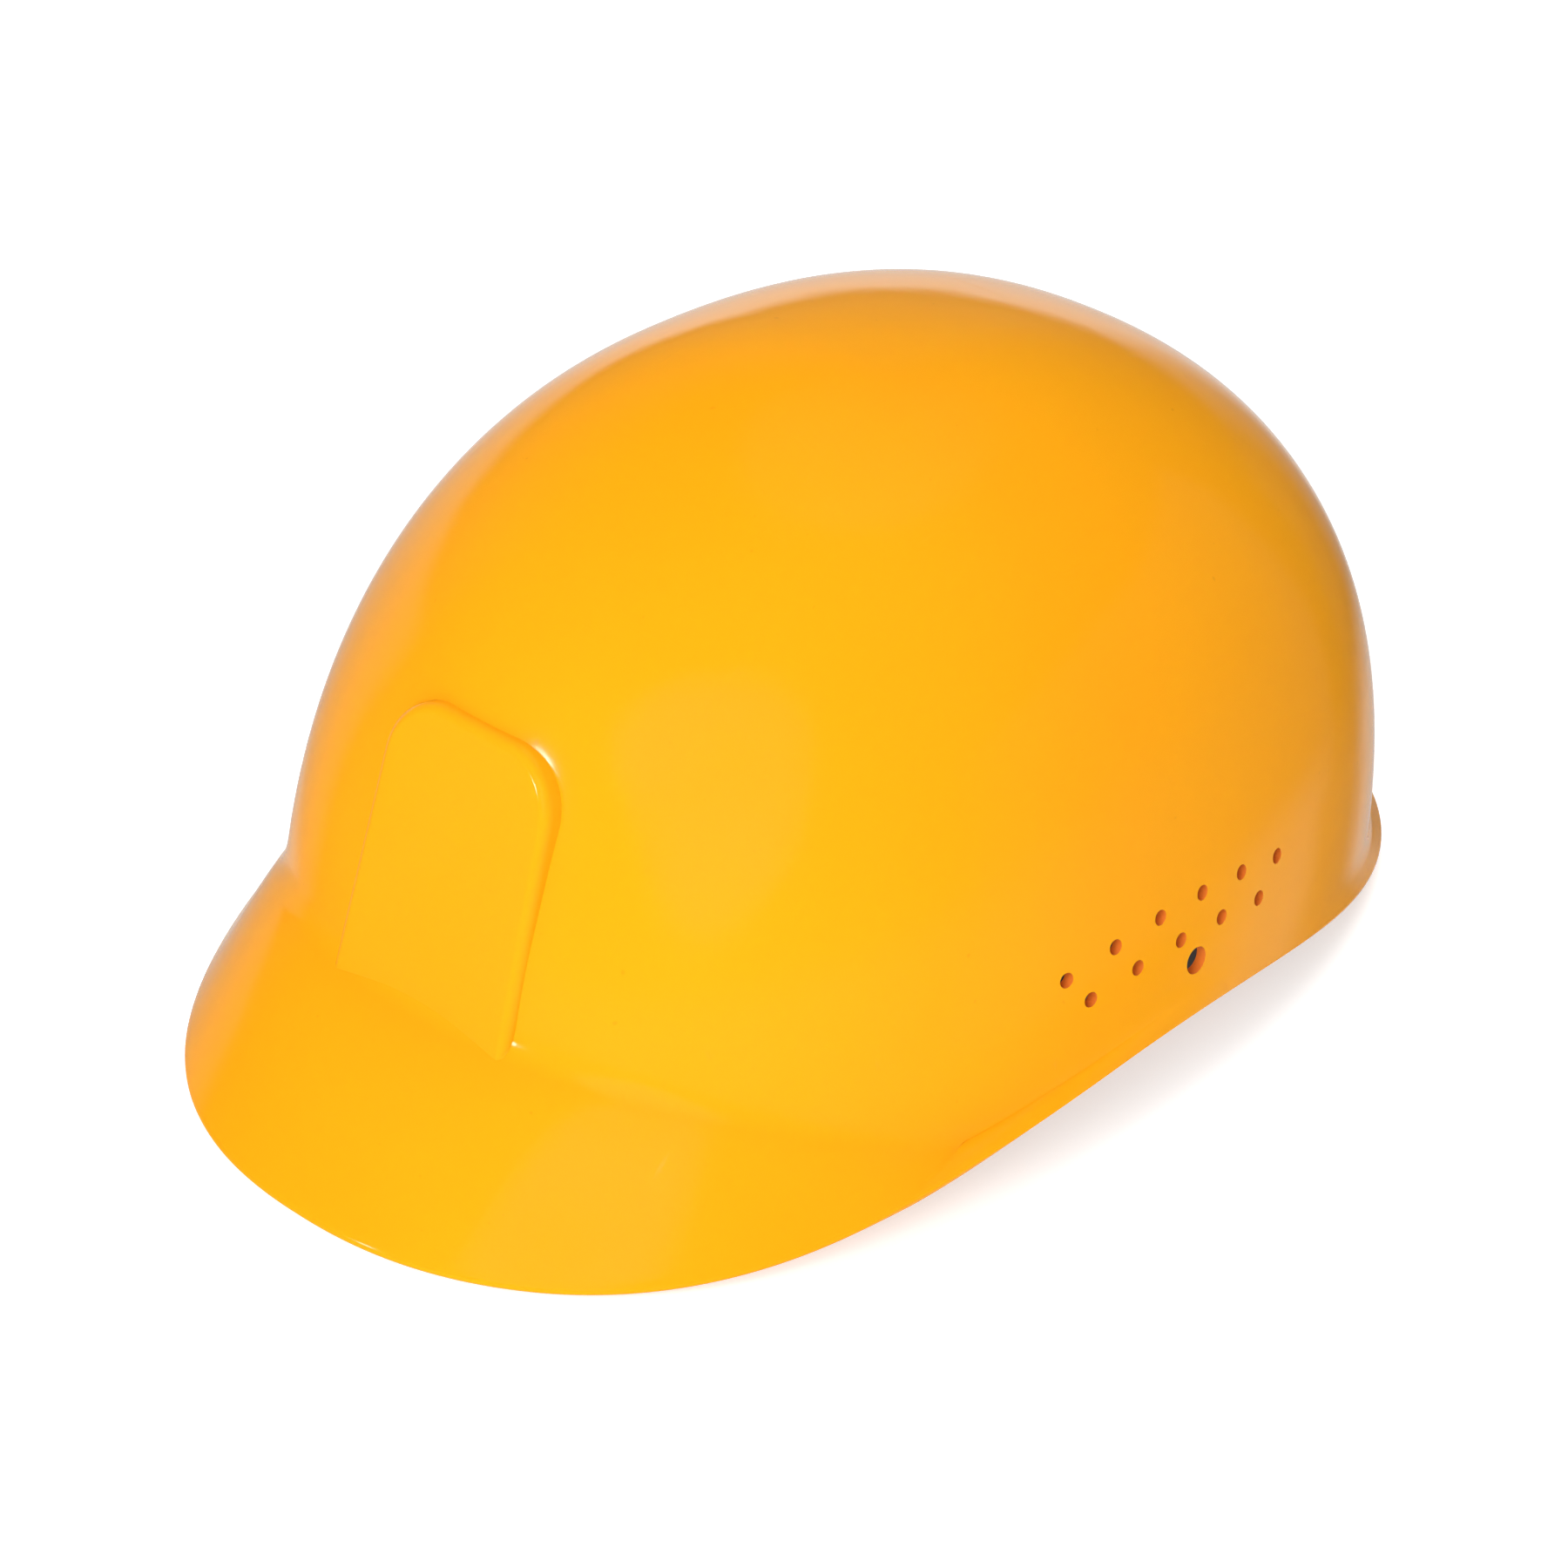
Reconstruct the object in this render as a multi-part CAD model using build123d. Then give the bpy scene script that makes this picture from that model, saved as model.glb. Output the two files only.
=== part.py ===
from build123d import *
import os
from math import acos, cos, exp, pi, radians, sin, tan

# Units are millimetres. The cap stands on its brim and rear rim at z = 0.
# The wearer faces -Y and +X is the wearer's left side.

# shell: the middle of the moulded wall
WALL = 2.2
CROWN_Y = 2.3
HALF_WIDTH, FRONT_REACH, REAR_REACH, CROWN_HEIGHT = 93.9, 119.8, 129.4, 136.4
SIDE_EQUATOR, FRONT_EQUATOR, REAR_EQUATOR = 18.0, -29.0, 22.0
PROFILE_POWER, HEIGHT_POWER, PLAN_POWER = 2.0, 2.3, 2.23
RIM_HALF_WIDTH, RIM_FRONT_Y, RIM_REAR_Y, RIM_WIDEST_Y = 95.2, -141.4, 141.4, -13.2
EAR_ARCH, ARCH_FRONT_Y = 18.8, -127.3
PEAK_ROOT_HEIGHT, PEAK_END_Y, LIP_HEIGHT, PEAK_DROOP = 31.5, -66.0, 5.8, 1.18
ROOT_BLEND = 5.0
BROW_BACK, BROW_TOP_Z, BROW_FADE = 2.6, 55.0, 35.0
TEMPLE_OUT, TEMPLE_Z, TEMPLE_SPREAD, BROW_ANGLE = 4.0, 100.0, 18.0, 45.0
RING_POINTS, DOME_ROWS, SHORT_ROWS, ROUND_ROWS = 48, 14, 4, 6

# raised panel on the forehead
PANEL_BASE_Y, PANEL_BASE_Z, PANEL_HEIGHT, PANEL_LEAN = -110.9, 31.0, 60.0, 17.4
PANEL_BASE_HALF, PANEL_TOP_HALF, PANEL_CORNER, PANEL_EDGE = 24.4, 22.2, 13.5, 1.4
PANEL_DEPTH, PANEL_DRAFT, PANEL_SINK = 24.0, 4.0, 9.0

# vents and chin-strap holes
VENT_PITCH, VENT_RADIUS = 12.7, 1.6
UPPER_ROW_START_Y, UPPER_ROW_COUNT, UPPER_ROW_Z = -26.6, 6, 45.6
LOWER_ROW_START_Y, LOWER_ROW_COUNT, LOWER_ROW_Z = -20.9, 5, 38.1
ROW_CENTRE_Y, ROW_ARC_RADIUS = 5.0, 140.0
STRAP_HOLE_Y, STRAP_HOLE_Z, STRAP_HOLE_RADIUS = 9.1, 31.5, 2.9

# headband loop: a rear and a front circle joined by tangents
BAND = 1.2
REAR_Y, REAR_RADIUS = 30.0, 79.0
FRONT_Y, FRONT_RADIUS = -23.0, 72.0
BAND_END_ANGLE = 36.0
BAND_FRONT, BAND_MIDDLE, BAND_REAR = (18.0, 44.0), (9.0, 37.0), (8.0, 34.5)
BAND_FRONT_Y, BAND_MIDDLE_Y, BAND_REAR_Y = -100.0, 20.0, 112.0
EAR_TOP, EAR_BOTTOM, EAR_HALF = 46.0, 30.0, 16.0

# brow sweatband and its push studs
SWEATBAND, SWEATBAND_ANGLE, SWEATBAND_INSET, SWEATBAND_GAP = 3.6, 75.0, 2.5, 0.3
STUD_ANGLES, STUD_Z = (24.0, 64.0), 31.0
STUD_SHANK, STUD_HEAD, STUD_BARB = 1.5, 3.6, 2.4

# suspension keys: u runs out along each strap diagonal from the crown crossing
CROSSING_Y, DIAGONAL = 5.0, 39.2
FRONT_BAND_U, REAR_BAND_U = 92.7, 98.0
PLATE_OFFSET, PLATE = 2.8, 2.4
PEG_Z, PEG_RADIUS, PEG_SIDE = 41.0, 2.0, 12.35
KEY_HALF, FOOT_INNER, KEY_CLEARANCE = 14.5, 10.2, 0.4
FOOT_Z, BAR_Z, SLOT_Z, SHOULDER_Z, TONGUE_Z, TONGUE_TOP = 37.5, 48.0, 51.0, 54.4, 57.0, 64.5
TONGUE_HALF, SOCKET_Z, SOCKET_TOP, SOCKET_GAP, SOCKET_WALL = 6.7, 58.0, 66.8, 0.25, 1.4

# crown webbing
WEB, WEB_HALF, WEB_BASE_Z = 1.2, 9.5, 44.0
WEB_RISES = (64.0, 65.7)
WEB_FROM_BAND, LOOP_GAP = 0.3, 0.3

# size adjuster: a pinion between two toothed straps on the rear circle
GEAR_Z, MODULE, TEETH, PRESSURE, ADDENDUM, DEDENDUM, BACKLASH = 21.0, 1.25, 10, 25.0, 1.0, 1.31, 0.3
LEFT_RACK_R, RIGHT_RACK_R, RACK = 80.5, 82.0, 1.2
RACK_HALF_HEIGHT, WINDOW_HALF = 11.0, 7.6
RACK_TIP_ANGLE, RACK_END_ANGLE, WINDOW_ANGLE = 28.0, 78.5, 24.3
KEEPER_ANGLES, KEEPER = (54.0, 58.0), 1.4
KEEPER_BAR_Z, KEEPER_GAP = (33.0, 35.4), 0.2
HOUSING_HALF_WIDTH, HOUSING_HALF_HEIGHT, HOUSING_CORNER = 29.0, 15.5, 8.0
BASE_INNER_R, BASE_OUTER_R, COVER_INNER_R, COVER_OUTER_R, RAIL_HALF = 78.4, 80.2, 83.5, 85.7, 11.4
TRACK_OUTER, TRACK_INNER, TRACK_TOOTH, TRACK_COUNT, TRACK_END = 14.0, 12.6, 0.7, 24, 89.8
DETENT_HUB, DETENT_ARM_R, DETENT_ARM, DETENT_RISE, DETENT_SWEEP = 6.5, 10.3, 1.2, 0.012, 84
KNOB_RADIUS, KNOB_START, KNOB_END, KNOB_RECESS, KNOB_FLOOR, KNOB_GRIPS = 17.0, 86.4, 94.5, 14.6, 90.2, 12
HUB_RADIUS, JOURNAL_RADIUS, SQUARE, SQUARE_END, RUNNING = 3.0, 4.0, 5.0, 91.6, 0.2
SCREW_RADIUS, SCREW_HEAD, SCREW_HEAD_HEIGHT, SCREW_START = 1.45, 3.0, 1.8, 84.5
NAPE_PAD, NAPE_GAP, NAPE_HALF_WIDTH, NAPE_HALF_HEIGHT = 4.2, 0.3, 31.0, 14.0

EPS = 1e-4


# ---- shell geometry

def plan_direction(angle):
    side, ahead = sin(angle), cos(angle)
    scale = (abs(side) ** PLAN_POWER + abs(ahead) ** PLAN_POWER) ** (-1 / PLAN_POWER)
    return side * scale, ahead * scale


def reach_at(z, reach, equator):
    rise = min(max((z - equator) / (CROWN_HEIGHT - equator), 0.0), 1.0)
    return reach * (1 - rise ** HEIGHT_POWER) ** (1 / PROFILE_POWER)


def brow_change(angle, z):
    """The forehead is set back low down and fuller above, which makes its middle nearly straight."""
    turn = abs((angle + pi) % (2 * pi) - pi) / radians(BROW_ANGLE)
    fade = min(max((z - BROW_TOP_Z) / BROW_FADE, 0.0), 1.0)
    low = BROW_BACK * (1 - fade * fade * (3 - 2 * fade))
    high = TEMPLE_OUT * exp(-((z - TEMPLE_Z) / TEMPLE_SPREAD) ** 2)
    return (high - low) * cos(min(turn, 1.0) * pi / 2) ** 2


def dome_point(angle, z):
    side, ahead = plan_direction(angle)
    half_width = reach_at(z, HALF_WIDTH, SIDE_EQUATOR)
    if ahead > 0:
        change = brow_change(angle, z) * min(1.0, (CROWN_HEIGHT - z) / 20)
        length = reach_at(z, FRONT_REACH, FRONT_EQUATOR) + change
    else:
        length = reach_at(z, REAR_REACH, REAR_EQUATOR)
    return Vector(half_width * side, CROWN_Y - length * ahead, z)


def rim_point(angle):
    side, ahead = plan_direction(angle)
    end = RIM_FRONT_Y if ahead > 0 else RIM_REAR_Y
    y = RIM_WIDEST_Y + (end - RIM_WIDEST_Y) * abs(ahead)
    along = min(max((y - ARCH_FRONT_Y) / (RIM_REAR_Y - ARCH_FRONT_Y), 0.0), 1.0)
    return Vector(RIM_HALF_WIDTH * side, y, WALL / 2 + EAR_ARCH * sin(pi * along) ** 2)


def root_point(angle):
    rim = rim_point(angle)
    ahead = min(max((PEAK_END_Y - rim.Y) / (PEAK_END_Y - RIM_FRONT_Y), 0.0), 1.0)
    share = (ahead * ahead * (3 - 2 * ahead)) ** 0.6
    return dome_point(angle, rim.Z + LIP_HEIGHT + (PEAK_ROOT_HEIGHT - LIP_HEIGHT) * share)


def skirt_point(root, rim, share):
    z = root.Z + (rim.Z - root.Z) * share ** PEAK_DROOP
    return Vector(root.X + (rim.X - root.X) * share, root.Y + (rim.Y - root.Y) * share, z)


def wall_point(angle, row):
    """Middle of the wall: row 0 is the crown, 1 to 2 the blend at the brim root, 3 the rim."""
    root, rim = root_point(angle), rim_point(angle)
    blend = min(ROOT_BLEND, 0.45 * (rim - root).length)
    blend_z = root.Z + blend
    blend_share = blend / (rim - root).length
    if row <= 1:
        return dome_point(angle, CROWN_HEIGHT - (CROWN_HEIGHT - blend_z) * (1 - cos(row * pi / 2)))
    if row <= 2:
        t = row - 1
        above = dome_point(angle, blend_z)
        below = skirt_point(root, rim, blend_share)
        return above * (1 - t) ** 2 + root * 2 * t * (1 - t) + below * t * t
    return skirt_point(root, rim, blend_share + (1 - blend_share) * (row - 2))


def wall_normal(angle, row):
    before, after = max(row - EPS, 1e-6), min(row + EPS, 3.0)
    across = wall_point(angle + EPS, row) - wall_point(angle - EPS, row)
    down = wall_point(angle, after) - wall_point(angle, before)
    return down.cross(across).normalized()


def ring(points):
    steps = [i / RING_POINTS for i in range(RING_POINTS + 1)]
    return Wire([Edge.make_spline(points, periodic=True, parameters=steps)])


def ring_angles():
    return [pi + 2 * pi * i / RING_POINTS for i in range(RING_POINTS)]


def wall_ring(row, offset):
    return ring([wall_point(a, row) + wall_normal(a, row) * offset for a in ring_angles()])


def skin(offset):
    dome = [wall_ring(i / DOME_ROWS, offset) for i in range(1, DOME_ROWS + 1)]
    blend = [dome[-1]] + [wall_ring(1 + i / SHORT_ROWS, offset) for i in range(1, SHORT_ROWS + 1)]
    skirt = [blend[-1]] + [wall_ring(2 + i / SHORT_ROWS, offset) for i in range(1, SHORT_ROWS + 1)]
    crown = Vertex(0, CROWN_Y, CROWN_HEIGHT + offset)
    lofts = [Shell.make_loft([crown] + dome), Shell.make_loft(blend), Shell.make_loft(skirt)]
    return [face for loft_ in lofts for face in loft_.faces()]


def rim_round():
    rings = []
    for i in range(ROUND_ROWS + 1):
        turn = pi * i / ROUND_ROWS
        points = []
        for a in ring_angles():
            end = wall_point(a, 3.0)
            outward = (end - wall_point(a, 3.0 - EPS)).normalized()
            points.append(end + (wall_normal(a, 3.0) * cos(turn) + outward * sin(turn)) * (WALL / 2))
        rings.append(ring(points))
    return Shell.make_loft(rings).faces()


def inside(offset):
    """Everything inside a skin at this offset from the middle of the wall, closed well below the rim."""
    rim = wall_ring(3.0, offset)
    floor = ring([Vector(p.X, p.Y, -30) for p in [rim_point(a) for a in ring_angles()]])
    side = Shell.make_loft([rim, floor], ruled=True)
    return Solid(Shell(skin(offset) + list(side.faces()) + [Face(floor)]))


def panel_block():
    base = Plane(
        origin=(0, PANEL_BASE_Y, PANEL_BASE_Z),
        x_dir=(1, 0, 0),
        z_dir=(0, -cos(radians(PANEL_LEAN)), sin(radians(PANEL_LEAN))),
    )
    slope = (PANEL_BASE_HALF - PANEL_TOP_HALF) / PANEL_HEIGHT
    low = PANEL_BASE_HALF + slope * PANEL_SINK
    outline = Polyline(
        (-low, -PANEL_SINK),
        (low, -PANEL_SINK),
        (PANEL_TOP_HALF, PANEL_HEIGHT),
        (-PANEL_TOP_HALF, PANEL_HEIGHT),
        close=True,
    )
    face = make_face(outline)
    face = fillet(face.vertices().sort_by(Axis.Y)[-2:], PANEL_CORNER)
    block = extrude(base * face, amount=-PANEL_DEPTH, taper=-PANEL_DRAFT)
    front = block.faces().sort_by(Axis.Y)[0]
    edges = [e for e in front.edges() if e.center().Z > PANEL_BASE_Z - 2]
    return fillet(edges, PANEL_EDGE)


def arc_height(y, middle):
    return middle - (y - ROW_CENTRE_Y) ** 2 / (2 * ROW_ARC_RADIUS)


def side_holes():
    holes = []
    for start, count, middle in (
        (UPPER_ROW_START_Y, UPPER_ROW_COUNT, UPPER_ROW_Z),
        (LOWER_ROW_START_Y, LOWER_ROW_COUNT, LOWER_ROW_Z),
    ):
        for i in range(count):
            y = start + VENT_PITCH * i
            holes.append(Pos(0, y, arc_height(y, middle)) * Rot(0, 90, 0) * Cylinder(VENT_RADIUS, 240))
    chin = Pos(0, STRAP_HOLE_Y, STRAP_HOLE_Z) * Rot(0, 90, 0) * Cylinder(STRAP_HOLE_RADIUS, 240)
    return holes + [chin]


def diagonal(side, end):
    """Plane whose x runs from the crown crossing towards one key; side +1 is left, end +1 is the front."""
    return Plane(
        origin=(0, CROSSING_Y, 0),
        x_dir=(side * sin(radians(DIAGONAL)), -end * cos(radians(DIAGONAL)), 0),
        z_dir=(0, 0, 1),
    )


def key_places():
    return [(side, end, FRONT_BAND_U if end > 0 else REAR_BAND_U) for side in (1, -1) for end in (1, -1)]


def block(u, t, z):
    """Box from its u, t and z ranges."""
    size = [b - a for a, b in (u, t, z)]
    middle = [(a + b) / 2 for a, b in (u, t, z)]
    return Pos(*middle) * Box(*size)


def key_socket(band_u):
    inner = band_u + PLATE_OFFSET - SOCKET_GAP
    outer = band_u + PLATE_OFFSET + PLATE + SOCKET_GAP
    half = TONGUE_HALF + SOCKET_GAP
    body = block((inner - SOCKET_WALL, outer + 12), (-half - 2, half + 2), (SOCKET_Z, SOCKET_TOP))
    slot = block((inner, outer), (-half, half), (SOCKET_Z - 5, TONGUE_TOP + 0.6))
    return body - slot


def make_shell():
    hull = Solid(Shell(skin(WALL / 2) + skin(-WALL / 2) + list(rim_round())))
    core = inside(0)
    hull = hull + (panel_block() - core)
    for side, end, band_u in key_places():
        hull = hull + ((diagonal(side, end) * key_socket(band_u)) & core)
    return hull - side_holes()


# ---- headband and sweatband

def loop_face(grow):
    """Filled plan of the headband loop, grown outwards from its inner face."""
    rear, front = REAR_RADIUS + grow, FRONT_RADIUS + grow
    lean = -(REAR_RADIUS - FRONT_RADIUS) / (REAR_Y - FRONT_Y)
    across = (1 - lean * lean) ** 0.5
    sides = make_face(Polyline(
        (rear * across, REAR_Y + rear * lean),
        (-rear * across, REAR_Y + rear * lean),
        (-front * across, FRONT_Y + front * lean),
        (front * across, FRONT_Y + front * lean),
        close=True,
    ))
    return sides + Pos(0, REAR_Y) * Circle(rear) + Pos(0, FRONT_Y) * Circle(front)


def wedge(middle_y, start, end, bottom=-5, top=80):
    """Sector about a vertical axis, angles measured from +Y towards +X."""
    steps = [radians(start + (end - start) * i / 8) for i in range(9)]
    points = [(0, middle_y)] + [(200 * sin(a), middle_y + 200 * cos(a)) for a in steps]
    return Pos(0, 0, bottom) * extrude(make_face(Polyline(*points, close=True)), amount=top - bottom)


def band_side(inset):
    """Side view of the headband, wide in X."""
    points = [
        (BAND_FRONT_Y, BAND_FRONT[0] + inset),
        (BAND_MIDDLE_Y, BAND_MIDDLE[0] + inset),
        (BAND_REAR_Y, BAND_REAR[0] + inset),
        (BAND_REAR_Y, BAND_REAR[1] - inset),
        (BAND_MIDDLE_Y, BAND_MIDDLE[1] - inset),
        (BAND_FRONT_Y, BAND_FRONT[1] - inset),
    ]
    return extrude(Plane.YZ * make_face(Polyline(*points, close=True)), amount=120, both=True)


def band_wall(inner, outer, height=80):
    return extrude(loop_face(outer) - loop_face(inner), amount=height)


def stud_places():
    return [Plane(
        origin=(0, FRONT_Y, STUD_Z),
        x_dir=(side * sin(radians(angle)), -cos(radians(angle)), 0),
        z_dir=(0, 0, 1),
    ) for angle in STUD_ANGLES for side in (1, -1)]


def rod(plane, radius, start, end, t=0, z=0):
    """Cylinder along the x axis of a plane."""
    return plane * (Pos((start + end) / 2, t, z) * Rot(0, 90, 0) * Cylinder(radius, end - start))


def make_headband():
    wall = band_wall(0, BAND)
    band = wall & band_side(0)
    for side, end, band_u in key_places():
        place = diagonal(side, end)
        ear = block((band_u - 25, band_u + 12), (-EAR_HALF, EAR_HALF), (EAR_BOTTOM, EAR_TOP))
        band = band + (wall & (place * ear))
    band = band - wedge(REAR_Y, -BAND_END_ANGLE, BAND_END_ANGLE)
    for side, end, band_u in key_places():
        for t in (-PEG_SIDE, PEG_SIDE):
            band = band - rod(diagonal(side, end), PEG_RADIUS + 0.1, band_u - 25, band_u + 12, t, PEG_Z)
    for place in stud_places():
        band = band - rod(place, STUD_SHANK + 0.1, FRONT_RADIUS - 6, FRONT_RADIUS + 6)
    low, high = KEEPER_BAR_Z
    for side in (1, -1):
        start, end = sorted(side * a for a in KEEPER_ANGLES)
        slot = wedge(REAR_Y, start - KEEPER_GAP, end + KEEPER_GAP, low - KEEPER_GAP, high + KEEPER_GAP)
        band = band - slot
    return band


def make_sweatband():
    outer = -SWEATBAND_GAP
    band = band_wall(outer - SWEATBAND, outer) & band_side(SWEATBAND_INSET)
    band = band & wedge(FRONT_Y, 180 - SWEATBAND_ANGLE, 180 + SWEATBAND_ANGLE)
    for place in stud_places():
        band = band - rod(place, STUD_BARB + 0.6, FRONT_RADIUS - SWEATBAND_GAP - 1.8, FRONT_RADIUS + 2)
    return band


def make_sweatband_studs():
    outer = FRONT_RADIUS + BAND
    studs = []
    for place in stud_places():
        head = rod(place, STUD_HEAD, outer, outer + 1.2)
        shank = rod(place, STUD_SHANK, FRONT_RADIUS - 1.3, outer)
        barb = rod(place, STUD_BARB, FRONT_RADIUS - 1.3, FRONT_RADIUS - 0.1)
        studs.append(head + shank + barb)
    return Compound(children=studs)


# ---- keys and webbing

def circle_at(end):
    return (FRONT_Y, FRONT_RADIUS) if end > 0 else (REAR_Y, REAR_RADIUS)


def make_key(side, end):
    band_u = FRONT_BAND_U if end > 0 else REAR_BAND_U
    inner = band_u + PLATE_OFFSET
    outer = inner + PLATE
    key = block((inner, outer), (-KEY_HALF, KEY_HALF), (BAR_Z, SLOT_Z))
    key = key + block((inner, outer), (-KEY_HALF, KEY_HALF), (SHOULDER_Z, TONGUE_Z))
    tongue = block((inner, outer), (-TONGUE_HALF, TONGUE_HALF), (TONGUE_Z - 1, TONGUE_TOP))
    key = key + chamfer(tongue.edges().filter_by(Axis.X).group_by(Axis.Z)[-1], 1.5)
    feet = []
    for t in (-1, 1):
        span = sorted((t * FOOT_INNER, t * KEY_HALF))
        key = key + block((inner, outer), span, (FOOT_Z, TONGUE_Z))
        feet.append(block((band_u - 8, inner + 0.5), span, (FOOT_Z, BAR_Z - 3)))
    place = diagonal(side, end)
    middle_y, radius = circle_at(end)
    drum = Pos(0, middle_y, 40) * Cylinder(radius + BAND + 0.02, 120)
    bore = Pos(0, middle_y, 40) * Cylinder(radius + 0.1, 120)
    key = place * key
    for foot in feet:
        key = key + ((place * foot) - drum)
    for t in (-PEG_SIDE, PEG_SIDE):
        key = key + (rod(place, PEG_RADIUS, band_u - 10, inner, t, PEG_Z) - bore)
    return key & inside(-WALL / 2 - KEY_CLEARANCE)


def half_strap(band_u, rise):
    """One half of a strap in its own u-z plane, with the loop round the key bar."""
    reach = band_u + WEB_FROM_BAND
    run = Ellipse(reach + WEB / 2, rise + WEB / 2) - Ellipse(reach - WEB / 2, rise - WEB / 2)
    run = Pos(0, WEB_BASE_Z) * run
    low = BAR_Z - LOOP_GAP - WEB
    run = run & (Pos(150, low + 150) * Rectangle(300, 300))
    inner, outer = band_u + PLATE_OFFSET, band_u + PLATE_OFFSET + PLATE
    middle = Pos((inner + outer) / 2, (BAR_Z + SLOT_Z) / 2)
    grow = 2 * LOOP_GAP
    hole = RectangleRounded(PLATE + grow, SLOT_Z - BAR_Z + grow, 0.7)
    grow = 2 * (LOOP_GAP + WEB)
    loop = middle * (RectangleRounded(PLATE + grow, SLOT_Z - BAR_Z + grow, 1.9) - hole)
    start = inner - LOOP_GAP - WEB
    sewn = Pos((start + reach - WEB / 2) / 2 + 0.2, (low + SLOT_Z + 1.6) / 2)
    width = start - reach + WEB / 2 + 1.2
    lap = sewn * Rectangle(width, SLOT_Z + 1.6 - low)
    lap = lap - Pos((reach - WEB / 2) / 2 - 0.1, low) * Rectangle(reach - WEB / 2, 40)
    return run + loop + lap


def make_strap(side, rise):
    solids = []
    for end, s in ((1, side), (-1, -side)):
        band_u = FRONT_BAND_U if end > 0 else REAR_BAND_U
        place = diagonal(s, end)
        upright = Plane(origin=place.origin, x_dir=place.x_dir, z_dir=place.x_dir.cross(Vector(0, 0, 1)))
        solids.append(extrude(upright * half_strap(band_u, rise), amount=WEB_HALF, both=True))
    return solids[0] + solids[1]


# ---- size adjuster

def tube(inner, outer, bottom, top):
    """Upright ring about the rear circle axis."""
    height = top - bottom
    return Pos(0, REAR_Y, bottom + height / 2) * (Cylinder(outer, height) - Cylinder(inner, height + 1))


def rack_tooth(radius, step, up):
    """Tooth that points at the pinion; up is +1 for teeth on the lower edge."""
    pitch = pi * MODULE
    half = (pitch - BACKLASH) / 4
    slope = tan(radians(PRESSURE))
    line = GEAR_Z - up * MODULE * TEETH / 2
    tip, root = line + up * ADDENDUM, line - up * (DEDENDUM + 0.6)
    outline = Polyline(
        (-half + slope * ADDENDUM, tip),
        (half - slope * ADDENDUM, tip),
        (half + slope * (DEDENDUM + 0.6), root),
        (-half - slope * (DEDENDUM + 0.6), root),
        close=True,
    )
    tooth = extrude(Plane.XZ * make_face(outline), amount=-200)
    return Pos(0, REAR_Y) * Rot(0, 0, -step * pitch / (radius + RACK / 2) * 180 / pi) * tooth


def make_rack(side):
    radius = LEFT_RACK_R if side > 0 else RIGHT_RACK_R
    low, high = GEAR_Z - RACK_HALF_HEIGHT, GEAR_Z + RACK_HALF_HEIGHT
    ring_ = tube(radius, radius + RACK, low, high)
    start, end = sorted((-side * RACK_TIP_ANGLE, side * RACK_END_ANGLE))
    strap = ring_ & wedge(REAR_Y, start, end)
    gap = wedge(REAR_Y, -WINDOW_ANGLE, WINDOW_ANGLE, GEAR_Z - WINDOW_HALF, GEAR_Z + WINDOW_HALF)
    strap = strap - gap
    line = ring_ & gap
    count = int(radians(WINDOW_ANGLE) * radius / (pi * MODULE))
    for i in range(-count, count):
        strap = strap + (rack_tooth(radius, i + 0.5, side) & line)
    return strap


def axle(radius, start, end):
    """Cylinder on the knob axis, start and end measured from the rear circle centre."""
    return Pos(0, REAR_Y + (start + end) / 2, GEAR_Z) * Rot(90, 0, 0) * Cylinder(radius, end - start)


def square_axle(side, start, end):
    return Pos(0, REAR_Y + (start + end) / 2, GEAR_Z) * Box(side, end - start, side)


def gear_outline():
    pitch_radius = MODULE * TEETH / 2
    base = pitch_radius * cos(radians(PRESSURE))
    tip, root = pitch_radius + ADDENDUM, pitch_radius - DEDENDUM
    involute = tan(radians(PRESSURE)) - radians(PRESSURE)
    flank = []
    for i in range(6):
        r = base + (tip - base) * i / 5
        turn = acos(min(1.0, base / r))
        half = pi / (2 * TEETH) - BACKLASH / (4 * pitch_radius) + involute - (tan(turn) - turn)
        flank.append((r, half))
    flank = [(root, flank[0][1])] + flank
    points = []
    for k in range(TEETH):
        middle = pi / 2 + 2 * pi * k / TEETH
        points += [(r * cos(middle - half), r * sin(middle - half)) for r, half in flank]
        points += [(r * cos(middle + half), r * sin(middle + half)) for r, half in reversed(flank)]
    return make_face(Polyline(*points, close=True))


def make_pinion():
    start, end = BASE_OUTER_R + RUNNING, COVER_INNER_R - 0.5
    place = Plane(origin=(0, REAR_Y + end, GEAR_Z), x_dir=(1, 0, 0), z_dir=(0, -1, 0))
    gear = extrude(place * gear_outline(), amount=end - start)
    hub = axle(HUB_RADIUS, BASE_INNER_R + 0.2, start + 0.1)
    journal = axle(JOURNAL_RADIUS, end - 0.1, COVER_OUTER_R + 0.4)
    drive = square_axle(SQUARE, COVER_OUTER_R, SQUARE_END)
    return gear + hub + journal + drive - axle(SCREW_RADIUS + 0.05, SCREW_START - 0.2, SQUARE_END + 1)


def housing_outline(half_width, half_height, corner):
    outline = Plane.XZ * RectangleRounded(2 * half_width, 2 * half_height, corner)
    return Pos(0, REAR_Y, GEAR_Z) * extrude(outline, amount=-120)


def make_ratchet_base():
    low, high = GEAR_Z - HOUSING_HALF_HEIGHT, GEAR_Z + HOUSING_HALF_HEIGHT
    plate = tube(BASE_INNER_R, BASE_OUTER_R, low, high)
    plate = plate & housing_outline(HOUSING_HALF_WIDTH, HOUSING_HALF_HEIGHT, HOUSING_CORNER)
    return plate - axle(HUB_RADIUS + RUNNING, 60, 100)


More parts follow.
